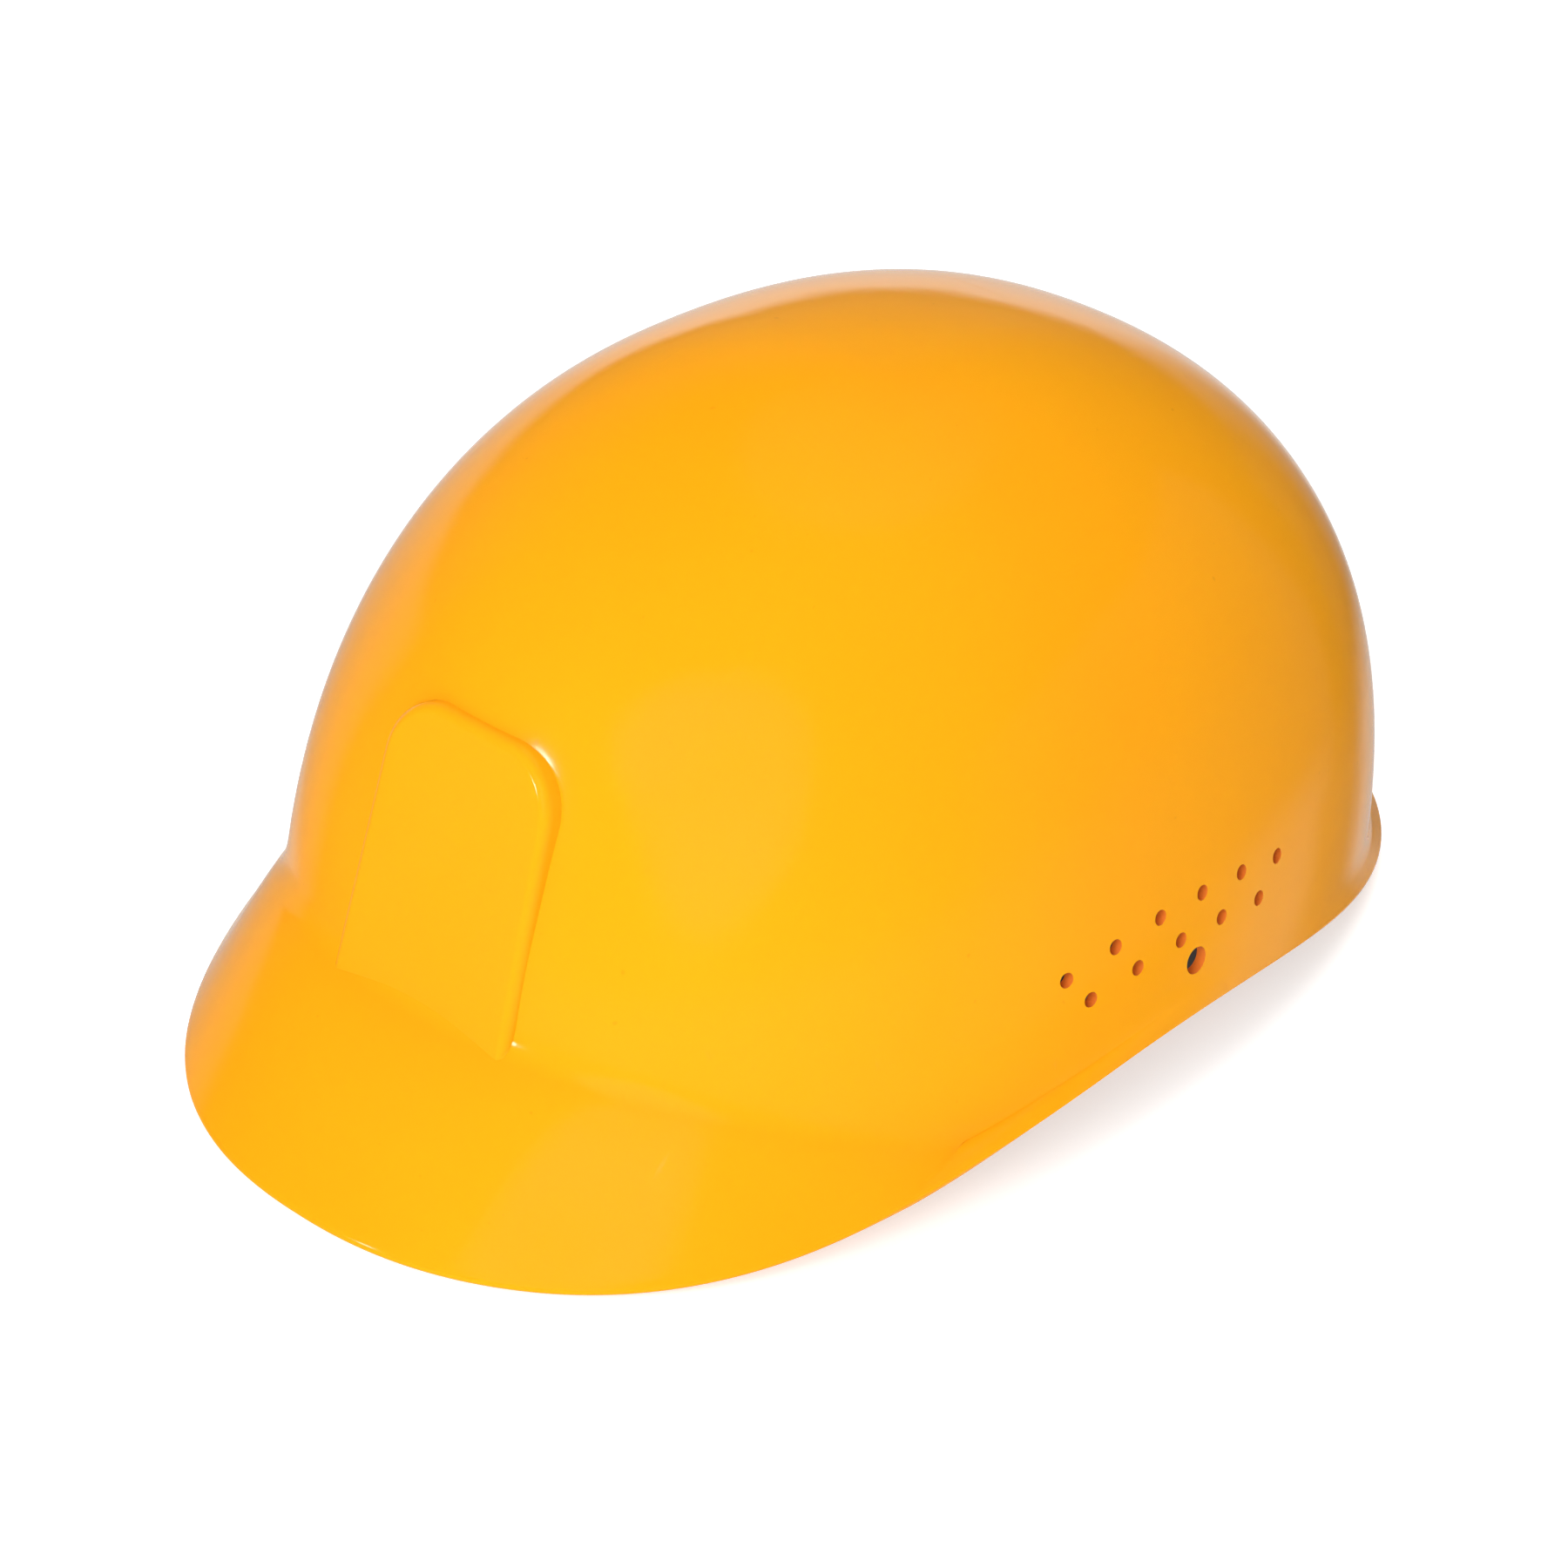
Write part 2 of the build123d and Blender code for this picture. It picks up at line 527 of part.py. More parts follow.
def make_ratchet_cover():
    low, high = GEAR_Z - HOUSING_HALF_HEIGHT, GEAR_Z + HOUSING_HALF_HEIGHT
    cover = tube(BASE_OUTER_R, COVER_OUTER_R, low, high)
    cover = cover - tube(BASE_OUTER_R - 1, COVER_INNER_R, GEAR_Z - RAIL_HALF, GEAR_Z + RAIL_HALF)
    cover = cover & housing_outline(HOUSING_HALF_WIDTH, HOUSING_HALF_HEIGHT, HOUSING_CORNER)
    track = axle(TRACK_OUTER, COVER_OUTER_R - 2, TRACK_END) - tube(60, COVER_INNER_R + 0.6, 0, 60)
    cover = cover + track - axle(TRACK_INNER, COVER_OUTER_R + 0.2, TRACK_END + 1)
    teeth = []
    for k in range(TRACK_COUNT):
        a = 2 * pi * k / TRACK_COUNT
        b = a + 2 * pi / TRACK_COUNT
        outer, inner = TRACK_INNER + 0.3, TRACK_INNER - TRACK_TOOTH
        outline = Polyline(
            (outer * cos(a), outer * sin(a)),
            (inner * cos(a), inner * sin(a)),
            (outer * cos(b), outer * sin(b)),
            close=True,
        )
        place = Plane(origin=(0, REAR_Y + TRACK_END, GEAR_Z), x_dir=(1, 0, 0), z_dir=(0, -1, 0))
        teeth.append(extrude(place * make_face(outline), amount=TRACK_END - COVER_OUTER_R))
    cover = cover + teeth
    return cover - axle(JOURNAL_RADIUS + RUNNING, 70, 100)


def spring_arm(start_angle):
    """Flat spring arm that curls round the hub and swings slowly outwards to its tip."""
    steps = range(0, DETENT_SWEEP + 1, 6)

    def edge(offset):
        return [((DETENT_ARM_R + offset + DETENT_RISE * i) * cos(radians(start_angle + i)),
                 (DETENT_ARM_R + offset + DETENT_RISE * i) * sin(radians(start_angle + i))) for i in steps]

    blade = make_face(Polyline(*edge(DETENT_ARM / 2), *reversed(edge(-DETENT_ARM / 2)), close=True))
    root = Rot(0, 0, start_angle) * Pos(8.2, 0.9) * Rectangle(5.0, 2.6)
    return blade + root


def make_detent_ring():
    start, end = COVER_OUTER_R + 0.7, TRACK_END - 0.2
    place = Plane(origin=(0, REAR_Y + end, GEAR_Z), x_dir=(1, 0, 0), z_dir=(0, -1, 0))
    body = axle(DETENT_HUB, start, end)
    for k in range(3):
        body = body + extrude(place * spring_arm(120 * k), amount=end - start)
    return body - square_axle(SQUARE + 0.2, start - 1, end + 1)


def make_knob():
    body = axle(KNOB_RADIUS, KNOB_START, KNOB_END)
    rear = body.edges().filter_by(GeomType.CIRCLE).sort_by(Axis.Y)[-1]
    body = fillet(rear, 2.0)
    for k in range(KNOB_GRIPS):
        a = 2 * pi * (k + 0.5) / KNOB_GRIPS
        reach = KNOB_RADIUS + 1.6
        body = body - Pos(reach * cos(a), 0, reach * sin(a)) * axle(2.6, KNOB_START - 1, KNOB_END + 1)
    body = body - axle(KNOB_RECESS, KNOB_START - 1, KNOB_FLOOR)
    body = body - square_axle(SQUARE + 0.2, KNOB_FLOOR - 1, SQUARE_END + 0.4)
    body = body - axle(SCREW_RADIUS + 0.1, KNOB_FLOOR, KNOB_END + 1)
    dish = axle(SCREW_HEAD + 0.3, KNOB_END - SCREW_HEAD_HEIGHT - 0.6, KNOB_END + 1)
    return body - dish


def make_knob_screw():
    seat = KNOB_END - SCREW_HEAD_HEIGHT - 0.6
    screw = axle(SCREW_RADIUS, SCREW_START, seat + 0.1) + axle(SCREW_HEAD, seat, seat + SCREW_HEAD_HEIGHT)
    cross = Box(3.2, 2.0, 0.7) + Box(0.7, 2.0, 3.2)
    return screw - Pos(0, REAR_Y + seat + SCREW_HEAD_HEIGHT, GEAR_Z) * cross


def make_keeper(side):
    strap_outer = (LEFT_RACK_R if side > 0 else RIGHT_RACK_R) + RACK + 0.3
    low = GEAR_Z - RACK_HALF_HEIGHT - 1.8
    bar_low, bar_high = KEEPER_BAR_Z
    loop = tube(REAR_RADIUS - KEEPER, strap_outer + KEEPER, low - KEEPER, bar_high)
    loop = loop - tube(REAR_RADIUS, strap_outer, low, bar_low)
    start, end = sorted(side * a for a in KEEPER_ANGLES)
    return loop & wedge(REAR_Y, start, end)


def make_nape_pad():
    outer = BASE_INNER_R - NAPE_GAP
    low, high = GEAR_Z - NAPE_HALF_HEIGHT, GEAR_Z + NAPE_HALF_HEIGHT
    return tube(outer - NAPE_PAD, outer, low, high) & housing_outline(NAPE_HALF_WIDTH, NAPE_HALF_HEIGHT, 7.0)


def make_parts():
    return {
        "shell": make_shell(),
        "headband": make_headband(),
        "sweatband": make_sweatband(),
        "sweatband_studs": make_sweatband_studs(),
        "front_left_key": make_key(1, 1),
        "front_right_key": make_key(-1, 1),
        "rear_left_key": make_key(1, -1),
        "rear_right_key": make_key(-1, -1),
        "left_crown_strap": make_strap(1, WEB_RISES[0]),
        "right_crown_strap": make_strap(-1, WEB_RISES[1]),
        "left_rack_strap": make_rack(1),
        "right_rack_strap": make_rack(-1),
        "left_strap_keeper": make_keeper(1),
        "right_strap_keeper": make_keeper(-1),
        "ratchet_base": make_ratchet_base(),
        "ratchet_cover": make_ratchet_cover(),
        "pinion": make_pinion(),
        "detent_ring": make_detent_ring(),
        "knob": make_knob(),
        "knob_screw": make_knob_screw(),
        "nape_pad": make_nape_pad(),
    }


os.makedirs("parts", exist_ok=True)
for name, shape in make_parts().items():
    export_step(shape, "parts/" + name + ".step")
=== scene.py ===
from math import atan2, cos, exp, hypot, inf, pi, radians, sin, sqrt, tan

import bmesh
import bpy
import numpy as np
from mathutils import Matrix, Vector
from mathutils.bvhtree import BVHTree


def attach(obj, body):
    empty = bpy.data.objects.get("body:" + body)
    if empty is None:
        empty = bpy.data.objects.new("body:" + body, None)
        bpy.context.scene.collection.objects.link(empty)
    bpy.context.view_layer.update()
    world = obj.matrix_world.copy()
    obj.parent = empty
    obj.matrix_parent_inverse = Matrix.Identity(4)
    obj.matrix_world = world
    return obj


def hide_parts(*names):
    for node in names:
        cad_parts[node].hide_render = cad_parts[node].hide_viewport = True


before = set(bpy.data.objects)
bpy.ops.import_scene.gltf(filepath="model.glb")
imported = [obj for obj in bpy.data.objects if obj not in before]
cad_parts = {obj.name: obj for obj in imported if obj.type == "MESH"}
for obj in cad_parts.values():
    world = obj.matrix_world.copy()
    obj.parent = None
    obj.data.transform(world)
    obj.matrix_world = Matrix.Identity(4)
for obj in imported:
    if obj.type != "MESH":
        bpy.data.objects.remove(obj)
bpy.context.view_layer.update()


MM = 0.001

# ---- dimensions shared with the CAD model, in millimetres

WALL = 2.2
CROWN_Y = 2.3
HALF_WIDTH, FRONT_REACH, REAR_REACH, CROWN_HEIGHT = 93.9, 119.8, 129.4, 136.4
SIDE_EQUATOR, FRONT_EQUATOR, REAR_EQUATOR = 18.0, -29.0, 22.0
PROFILE_POWER, HEIGHT_POWER, PLAN_POWER = 2.0, 2.3, 2.23
RIM_HALF_WIDTH, RIM_FRONT_Y, RIM_REAR_Y, RIM_WIDEST_Y = 95.2, -141.4, 141.4, -13.2
EAR_ARCH, ARCH_FRONT_Y = 18.8, -127.3
PEAK_ROOT_HEIGHT, PEAK_END_Y, LIP_HEIGHT, PEAK_DROOP = 31.5, -66.0, 5.8, 1.18
ROOT_BLEND = 5.0
BROW_BACK, BROW_TOP_Z, BROW_FADE = 2.6, 55.0, 35.0
TEMPLE_OUT, TEMPLE_Z, TEMPLE_SPREAD, BROW_ANGLE = 4.0, 100.0, 18.0, 45.0
PANEL_BASE_Y, PANEL_BASE_Z, PANEL_HEIGHT, PANEL_LEAN = -110.9, 31.0, 60.0, 17.4
PANEL_BASE_HALF, PANEL_TOP_HALF, PANEL_CORNER = 24.4, 22.2, 13.5
PANEL_ROUND, PANEL_DRAFT, PANEL_SINK, PANEL_COLUMNS = 2.2, 7.0, 6.0, 24
VENT_PITCH, VENT_RADIUS = 12.7, 1.6
VENT_ROWS = ((-26.6, 6, 45.6), (-20.9, 5, 38.1))  # first vent's y, number of vents, height of the row's top
ROW_CENTRE_Y, ROW_ARC_RADIUS = 5.0, 140.0
STRAP_HOLE_Y, STRAP_HOLE_Z, STRAP_HOLE_RADIUS = 9.1, 31.5, 2.9
REAR_Y, FRONT_Y, FRONT_RADIUS, GEAR_Z = 30.0, -23.0, 72.0, 21.0
CROSSING_Y, DIAGONAL = 5.0, 39.2
FRONT_BAND_U, REAR_BAND_U = 92.7, 98.0
PLATE_OFFSET, PLATE, BAR_Z, SLOT_Z = 2.8, 2.4, 48.0, 51.0
TONGUE_HALF, TONGUE_TOP, TONGUE_ROOM = 6.7, 64.5, 0.6
SOCKET_Z, SOCKET_TOP, SOCKET_GAP, SOCKET_WALL, SOCKET_SIDE, SOCKET_EDGE = 58.0, 66.8, 0.25, 1.4, 2.0, 0.4
WEB, WEB_HALF, WEB_BASE_Z, WEB_RISES, WEB_FROM_BAND = 1.2, 9.5, 44.0, (64.0, 65.7), 0.3
LAP_GAP, LOOP_GAP, PATH_STEP = 0.06, 0.95, 1.5

# ---- how finely the meshes are divided, and sizes of the sewn detail, in millimetres

SHELL_COLUMNS, QUICK_COLUMNS, CROWN_ROWS, ROOT_ROWS, SKIRT_ROWS, LIP_STEPS = 320, 200, 72, 10, 14, 8
HOLE_SIDES, CUT_NEAR, CUT_FAR = 40, 70.0, 110.0
PANEL_SIDE_ROWS, PANEL_CORNER_ROWS, PANEL_EDGE_RINGS, PANEL_WALL_RINGS, PANEL_REACH = 40, 20, 9, 6, 24.0
STITCH_SIDES, STITCH_RINGS, STITCH_DIP = 6, 5, 0.12
BOX_HALF, BOX_LOW, BOX_HIGH, BOX_STITCH = 7.2, 57.0, 71.5, 2.1
PAD_COLUMNS, PAD_ACROSS, PAD_STITCH = 241, 33, 2.6
BROW_OUTER, BROW_THICK, BROW_SPAN, BROW_THREAD_SPAN, BROW_THREAD_DEPTH = 71.65, 3.5, 74.6, 73, 2.05
NAPE_OUTER, NAPE_THICK, NAPE_SPAN, NAPE_THREAD_SPAN, NAPE_THREAD_DEPTH = 78.0, 4.1, 23.2, 21, 2.5
BROW_ROWS, NAPE_ROWS = (-0.8, 0.8), (-0.78, 0.78)


# ---- node and mesh helpers

def material(name):
    mat = bpy.data.materials.new(name)
    mat.use_nodes = True
    tree = mat.node_tree
    return mat, tree, tree.nodes["Principled BSDF"]


def node(tree, kind, **values):
    made = tree.nodes.new(kind)
    for key, value in values.items():
        if key in made.inputs:
            made.inputs[key].default_value = value
        else:
            setattr(made, key, value)
    return made


def object_coords(tree, scale=(1, 1, 1), rotation=(0, 0, 0)):
    coords = node(tree, "ShaderNodeTexCoord")
    mapping = node(tree, "ShaderNodeMapping")
    mapping.inputs["Scale"].default_value = scale
    mapping.inputs["Rotation"].default_value = rotation
    tree.links.new(coords.outputs["Object"], mapping.inputs["Vector"])
    return mapping.outputs["Vector"]


def noise(tree, vector, scale, detail=3.0, rough=0.5):
    made = node(tree, "ShaderNodeTexNoise", Scale=scale, Detail=detail, Roughness=rough)
    tree.links.new(vector, made.inputs["Vector"])
    return made.outputs["Fac"]


def ramp(tree, factor, stops):
    """Colour ramp with (place, (r, g, b)) stops."""
    made = node(tree, "ShaderNodeValToRGB")
    band = made.color_ramp
    while len(band.elements) < len(stops):
        band.elements.new(0.5)
    for element, (place, colour) in zip(band.elements, stops):
        element.position = place
        element.color = (*colour, 1.0)
    tree.links.new(factor, made.inputs["Fac"])
    return made.outputs["Color"]


def grey_ramp(tree, factor, stops):
    return ramp(tree, factor, [(place, (v, v, v)) for place, v in stops])


def maths(tree, operation, a, b=None):
    made = node(tree, "ShaderNodeMath", operation=operation)
    for socket, value in zip(made.inputs, (a, b)):
        if value is None:
            continue
        if isinstance(value, (int, float)):
            socket.default_value = value
        else:
            tree.links.new(value, socket)
    return made.outputs[0]


def bump(tree, height, distance, strength=1.0, normal=None):
    made = node(tree, "ShaderNodeBump", Strength=strength, Distance=distance)
    tree.links.new(height, made.inputs["Height"])
    if normal is not None:
        tree.links.new(normal, made.inputs["Normal"])
    return made.outputs["Normal"]


def build(name, verts, faces, mat, smooth=True, sharp=None):
    mesh = bpy.data.meshes.new(name)
    mesh.from_pydata([tuple(c * MM for c in v) for v in verts], [], faces)
    mesh.validate()
    mesh.materials.append(mat)
    obj = bpy.data.objects.new(name, mesh)
    bpy.context.scene.collection.objects.link(obj)
    for poly in mesh.polygons:
        poly.use_smooth = smooth
    if sharp is not None:
        mesh.set_sharp_from_angle(angle=radians(sharp))
    return obj


def loft_faces(rows, count):
    """Quads between rings of the same number of points, each ring closed."""
    faces = []
    for i in range(rows - 1):
        for j in range(count):
            k = (j + 1) % count
            faces.append((i * count + j, i * count + k, (i + 1) * count + k, (i + 1) * count + j))
    return faces


def face_outward(obj):
    """Turns every face of a closed mesh outward."""
    work = bmesh.new()
    work.from_mesh(obj.data)
    bmesh.ops.recalc_face_normals(work, faces=work.faces)
    work.to_mesh(obj.data)
    work.free()


def bake(obj):
    """Replaces the mesh by the one its modifiers make."""
    graph = bpy.context.evaluated_depsgraph_get()
    graph.update()
    made = bpy.data.meshes.new_from_object(obj.evaluated_get(graph))
    obj.modifiers.clear()
    old = obj.data
    obj.data = made
    made.name = obj.name
    bpy.data.meshes.remove(old)


# ---- materials

SHELL_COLOURS, SPECK_COLOUR = ((0.94, 0.36, 0.004), (0.97, 0.385, 0.006)), (0.62, 0.22, 0.003)
YARN_WIDTH, PICK_LENGTH = 0.9, 0.75


def shell_material():
    """Glossy amber polyethylene: soft ripples from moulding, a few dark specks and hairline scratches."""
    mat, tree, bsdf = material("amber_shell_plastic")
    place = object_coords(tree)
    specks = grey_ramp(tree, noise(tree, place, 420.0, 1.0, 0.4), [(0.0, 0.0), (0.79, 0.0), (0.83, 1.0)])
    body = ramp(tree, noise(tree, place, 9.0, 2.0), [(0.3, SHELL_COLOURS[0]), (0.7, SHELL_COLOURS[1])])
    spotted = node(tree, "ShaderNodeMix", data_type="RGBA")
    tree.links.new(maths(tree, "MULTIPLY", specks, 0.25), spotted.inputs[0])
    tree.links.new(body, spotted.inputs[6])
    spotted.inputs[7].default_value = (*SPECK_COLOUR, 1)
    tree.links.new(spotted.outputs[2], bsdf.inputs["Base Color"])
    scratch_a = noise(tree, object_coords(tree, (30, 900, 120), (0.3, 0.2, 0.5)), 1.0, 2.0)
    scratch_b = noise(tree, object_coords(tree, (800, 40, 90), (0.1, 0.6, 0.2)), 1.0, 2.0)
    scratches = maths(tree, "MAXIMUM", scratch_a, scratch_b)
    marks = grey_ramp(tree, scratches, [(0.0, 0.0), (0.73, 0.0), (0.78, 1.0)])
    cloudy = maths(tree, "MULTIPLY", noise(tree, place, 60.0, 4.0), 0.06)
    tree.links.new(maths(tree, "ADD", maths(tree, "MULTIPLY", marks, 0.12), maths(tree, "ADD", cloudy, 0.07)),
                   bsdf.inputs["Roughness"])
    wave = bump(tree, noise(tree, place, 22.0, 2.0), 0.00045, 1.0)
    fine = bump(tree, noise(tree, place, 260.0, 2.0), 0.00002, 1.0, wave)
    tree.links.new(bump(tree, marks, 0.00001, 1.0, fine), bsdf.inputs["Normal"])
    bsdf.inputs["IOR"].default_value = 1.5
    bsdf.inputs["Subsurface Weight"].default_value = 0.12
    bsdf.inputs["Subsurface Radius"].default_value = (1.0, 0.45, 0.05)
    bsdf.inputs["Subsurface Scale"].default_value = 0.004
    return mat


def moulded_material(name, low, high, rough, grain=900.0, depth=0.00003, sss=0.0):
    """Moulded plastic: faint cloudiness, fine surface grain and streaks of wear."""
    mat, tree, bsdf = material(name)
    place = object_coords(tree)
    tone = noise(tree, place, 35.0, 4.0)
    tree.links.new(ramp(tree, tone, [(0.3, low), (0.7, high)]), bsdf.inputs["Base Color"])
    pits = noise(tree, place, grain, 3.0, 0.6)
    wear = noise(tree, object_coords(tree, (60, 500, 60), (0.4, 0.1, 0.3)), 1.0, 3.0)
    worn = maths(tree, "MULTIPLY", grey_ramp(tree, wear, [(0.55, 0.0), (0.72, 1.0)]), 0.12)
    tree.links.new(maths(tree, "ADD", worn, rough), bsdf.inputs["Roughness"])
    tree.links.new(bump(tree, pits, depth), bsdf.inputs["Normal"])
    bsdf.inputs["Subsurface Weight"].default_value = sss
    bsdf.inputs["Subsurface Radius"].default_value = (1.0, 1.0, 1.0)
    bsdf.inputs["Subsurface Scale"].default_value = 0.002
    return mat


def knit_material(name, low, high):
    """Knitted cloth: small loops in rows."""
    mat, tree, bsdf = material(name)
    place = object_coords(tree)
    loops = node(tree, "ShaderNodeTexVoronoi", Scale=1150.0, feature="F1")
    tree.links.new(place, loops.inputs["Vector"])
    rows = node(tree, "ShaderNodeTexWave", Scale=340.0, Distortion=2.0, bands_direction="Z")
    tree.links.new(place, rows.inputs["Vector"])
    knit = maths(tree, "ADD", loops.outputs["Distance"], maths(tree, "MULTIPLY", rows.outputs["Fac"], 0.4))
    tree.links.new(ramp(tree, knit, [(0.2, high), (0.9, low)]), bsdf.inputs["Base Color"])
    tree.links.new(bump(tree, knit, 0.0004, 0.8), bsdf.inputs["Normal"])
    bsdf.inputs["Roughness"].default_value = 0.9
    bsdf.inputs["Sheen Weight"].default_value = 0.35
    bsdf.inputs["Sheen Roughness"].default_value = 0.5
    return mat


def webbing_material():
    """Ribs across the webbing and yarns along it, laid out on the strap's own UV in millimetres; the colour
    carries painted shade in the dips of the weave.
    """
    mat, tree, bsdf = material("woven_webbing")
    coords = node(tree, "ShaderNodeTexCoord")
    split = node(tree, "ShaderNodeSeparateXYZ")
    tree.links.new(coords.outputs["UV"], split.inputs["Vector"])
    across, along = split.outputs["X"], split.outputs["Y"]
    yarn = maths(tree, "ABSOLUTE", maths(tree, "SINE", maths(tree, "MULTIPLY", across, pi / YARN_WIDTH)))
    step = maths(tree, "FLOOR", maths(tree, "DIVIDE", across, YARN_WIDTH))
    ribs = maths(tree, "MULTIPLY", along, pi / PICK_LENGTH)
    shifted = maths(tree, "ADD", ribs, maths(tree, "MULTIPLY", step, pi / 2))
    pick = maths(tree, "ABSOLUTE", maths(tree, "SINE", shifted))
    weave_height_and_shade = maths(tree, "MULTIPLY", yarn, maths(tree, "ADD", maths(tree, "MULTIPLY", pick, 0.6), 0.4))
    fuzz = noise(tree, object_coords(tree), 2600.0, 2.0)
    height = maths(tree, "ADD", weave_height_and_shade, maths(tree, "MULTIPLY", fuzz, 0.25))
    stain = noise(tree, object_coords(tree), 30.0, 3.0)
    # Painted shade: the colour darkens with the weave's height, darkest in the dips between yarns and picks;
    # the stain noise is real uneven tone.
    tone = maths(tree, "MULTIPLY", maths(tree, "ADD", maths(tree, "MULTIPLY", weave_height_and_shade, 0.6), 0.4),
                 maths(tree, "ADD", maths(tree, "MULTIPLY", stain, 0.3), 0.8))
    tree.links.new(ramp(tree, tone, [(0.2, (0.33, 0.33, 0.32)), (1.0, (0.86, 0.86, 0.83))]),
                   bsdf.inputs["Base Color"])
    tree.links.new(bump(tree, height, 0.00025, 0.9), bsdf.inputs["Normal"])
    bsdf.inputs["Roughness"].default_value = 0.72
    bsdf.inputs["Sheen Weight"].default_value = 0.25
    return mat


def thread_material(name, colour):
    """Twisted sewing thread, with painted shade in the grooves of the twist."""
    mat, tree, bsdf = material(name)
    twist = node(tree, "ShaderNodeTexWave", Scale=900.0, Distortion=1.5, bands_direction="DIAGONAL")
    tree.links.new(object_coords(tree), twist.inputs["Vector"])
    # Painted shade: the darker colour follows the low bands of the twist, the same bands the bump sinks.
    dark = tuple(c * 0.55 for c in colour)
    tree.links.new(ramp(tree, twist.outputs["Fac"], [(0.1, dark), (0.8, colour)]), bsdf.inputs["Base Color"])
    tree.links.new(bump(tree, twist.outputs["Fac"], 0.0002), bsdf.inputs["Normal"])
    bsdf.inputs["Roughness"].default_value = 0.6
    return mat


def steel_material():
    mat, tree, bsdf = material("zinc_steel")
    grain = noise(tree, object_coords(tree, (500, 500, 500)), 4.0, 4.0)
    tree.links.new(ramp(tree, grain, [(0.3, (0.52, 0.53, 0.55)), (0.7, (0.72, 0.73, 0.75))]),
                   bsdf.inputs["Base Color"])
    tree.links.new(maths(tree, "ADD", maths(tree, "MULTIPLY", grain, 0.2), 0.22), bsdf.inputs["Roughness"])
    tree.links.new(bump(tree, grain, 0.00002), bsdf.inputs["Normal"])
    bsdf.inputs["Metallic"].default_value = 1.0
    return mat


def floor_material():
    mat, tree, bsdf = material("studio_floor")
    tree.links.new(ramp(tree, noise(tree, object_coords(tree), 3.0, 2.0),
                        [(0.3, (0.74, 0.74, 0.74)), (0.7, (0.77, 0.77, 0.77))]), bsdf.inputs["Base Color"])
    bsdf.inputs["Roughness"].default_value = 0.9
    bsdf.inputs["Specular IOR Level"].default_value = 0.1
    bsdf.inputs["Emission Color"].default_value = (1, 1, 1, 1)
    bsdf.inputs["Emission Strength"].default_value = 0.55
    return mat


SHELL_MAT = shell_material()
# The bore walls' darker orange is painted shade inside the vents and strap holes; their higher roughness is
# the duller cut finish.
BORE_PAINTED_SHADE_MAT = moulded_material("drilled_wall_painted_shade", (0.66, 0.150, 0.016), (0.76, 0.190, 0.022), 0.5)
BAND_MAT = moulded_material("satin_polyethylene", (0.030, 0.031, 0.033), (0.050, 0.052, 0.054),
                            0.4, 700.0, 0.00002)
KEY_MAT = moulded_material("grey_key_plastic", (0.47, 0.49, 0.50), (0.55, 0.57, 0.58), 0.36, 800.0)
STUD_MAT = moulded_material("black_nylon", (0.012, 0.012, 0.013), (0.03, 0.03, 0.032), 0.3, 900.0, 0.00002)
RATCHET_MAT = moulded_material("textured_black_moulding", (0.014, 0.014, 0.015), (0.028, 0.028, 0.03),
                               0.5, 1500.0, 0.00009)
KNOB_MAT = moulded_material("satin_black_moulding", (0.01, 0.01, 0.011), (0.022, 0.022, 0.024),
                            0.36, 1200.0, 0.00004)
GEAR_MAT = moulded_material("natural_acetal", (0.70, 0.68, 0.62), (0.80, 0.79, 0.74),
                            0.32, 600.0, 0.00002, 0.15)
KNIT_MAT = knit_material("charcoal_knit", (0.012, 0.012, 0.014), (0.055, 0.055, 0.06))
WEB_MAT = webbing_material()
THREAD_MAT = thread_material("white_thread", (0.8, 0.8, 0.77))
DARK_THREAD_MAT = thread_material("grey_thread", (0.25, 0.25, 0.26))
STEEL_MAT = steel_material()


# ---- shell surface

def plan_direction(angle):
    side, ahead = sin(angle), cos(angle)
    scale = (abs(side) ** PLAN_POWER + abs(ahead) ** PLAN_POWER) ** (-1 / PLAN_POWER)
    return side * scale, ahead * scale


def reach_at(z, reach, equator):
    rise = min(max((z - equator) / (CROWN_HEIGHT - equator), 0.0), 1.0)
    return reach * (1 - rise ** HEIGHT_POWER) ** (1 / PROFILE_POWER)


def brow_change(angle, z):
    turn = abs((angle + pi) % (2 * pi) - pi) / radians(BROW_ANGLE)
    fade = min(max((z - BROW_TOP_Z) / BROW_FADE, 0.0), 1.0)
    low = BROW_BACK * (1 - fade * fade * (3 - 2 * fade))
    high = TEMPLE_OUT * exp(-((z - TEMPLE_Z) / TEMPLE_SPREAD) ** 2)
    return (high - low) * cos(min(turn, 1.0) * pi / 2) ** 2


def dome_point(angle, z):
    side, ahead = plan_direction(angle)
    half_width = reach_at(z, HALF_WIDTH, SIDE_EQUATOR)
    if ahead > 0:
        change = brow_change(angle, z) * min(1.0, (CROWN_HEIGHT - z) / 20)
        length = reach_at(z, FRONT_REACH, FRONT_EQUATOR) + change
    else:
        length = reach_at(z, REAR_REACH, REAR_EQUATOR)
    return np.array((half_width * side, CROWN_Y - length * ahead, z))


def rim_point(angle):
    side, ahead = plan_direction(angle)
    end = RIM_FRONT_Y if ahead > 0 else RIM_REAR_Y
    y = RIM_WIDEST_Y + (end - RIM_WIDEST_Y) * abs(ahead)
    along = min(max((y - ARCH_FRONT_Y) / (RIM_REAR_Y - ARCH_FRONT_Y), 0.0), 1.0)
    return np.array((RIM_HALF_WIDTH * side, y, WALL / 2 + EAR_ARCH * sin(pi * along) ** 2))


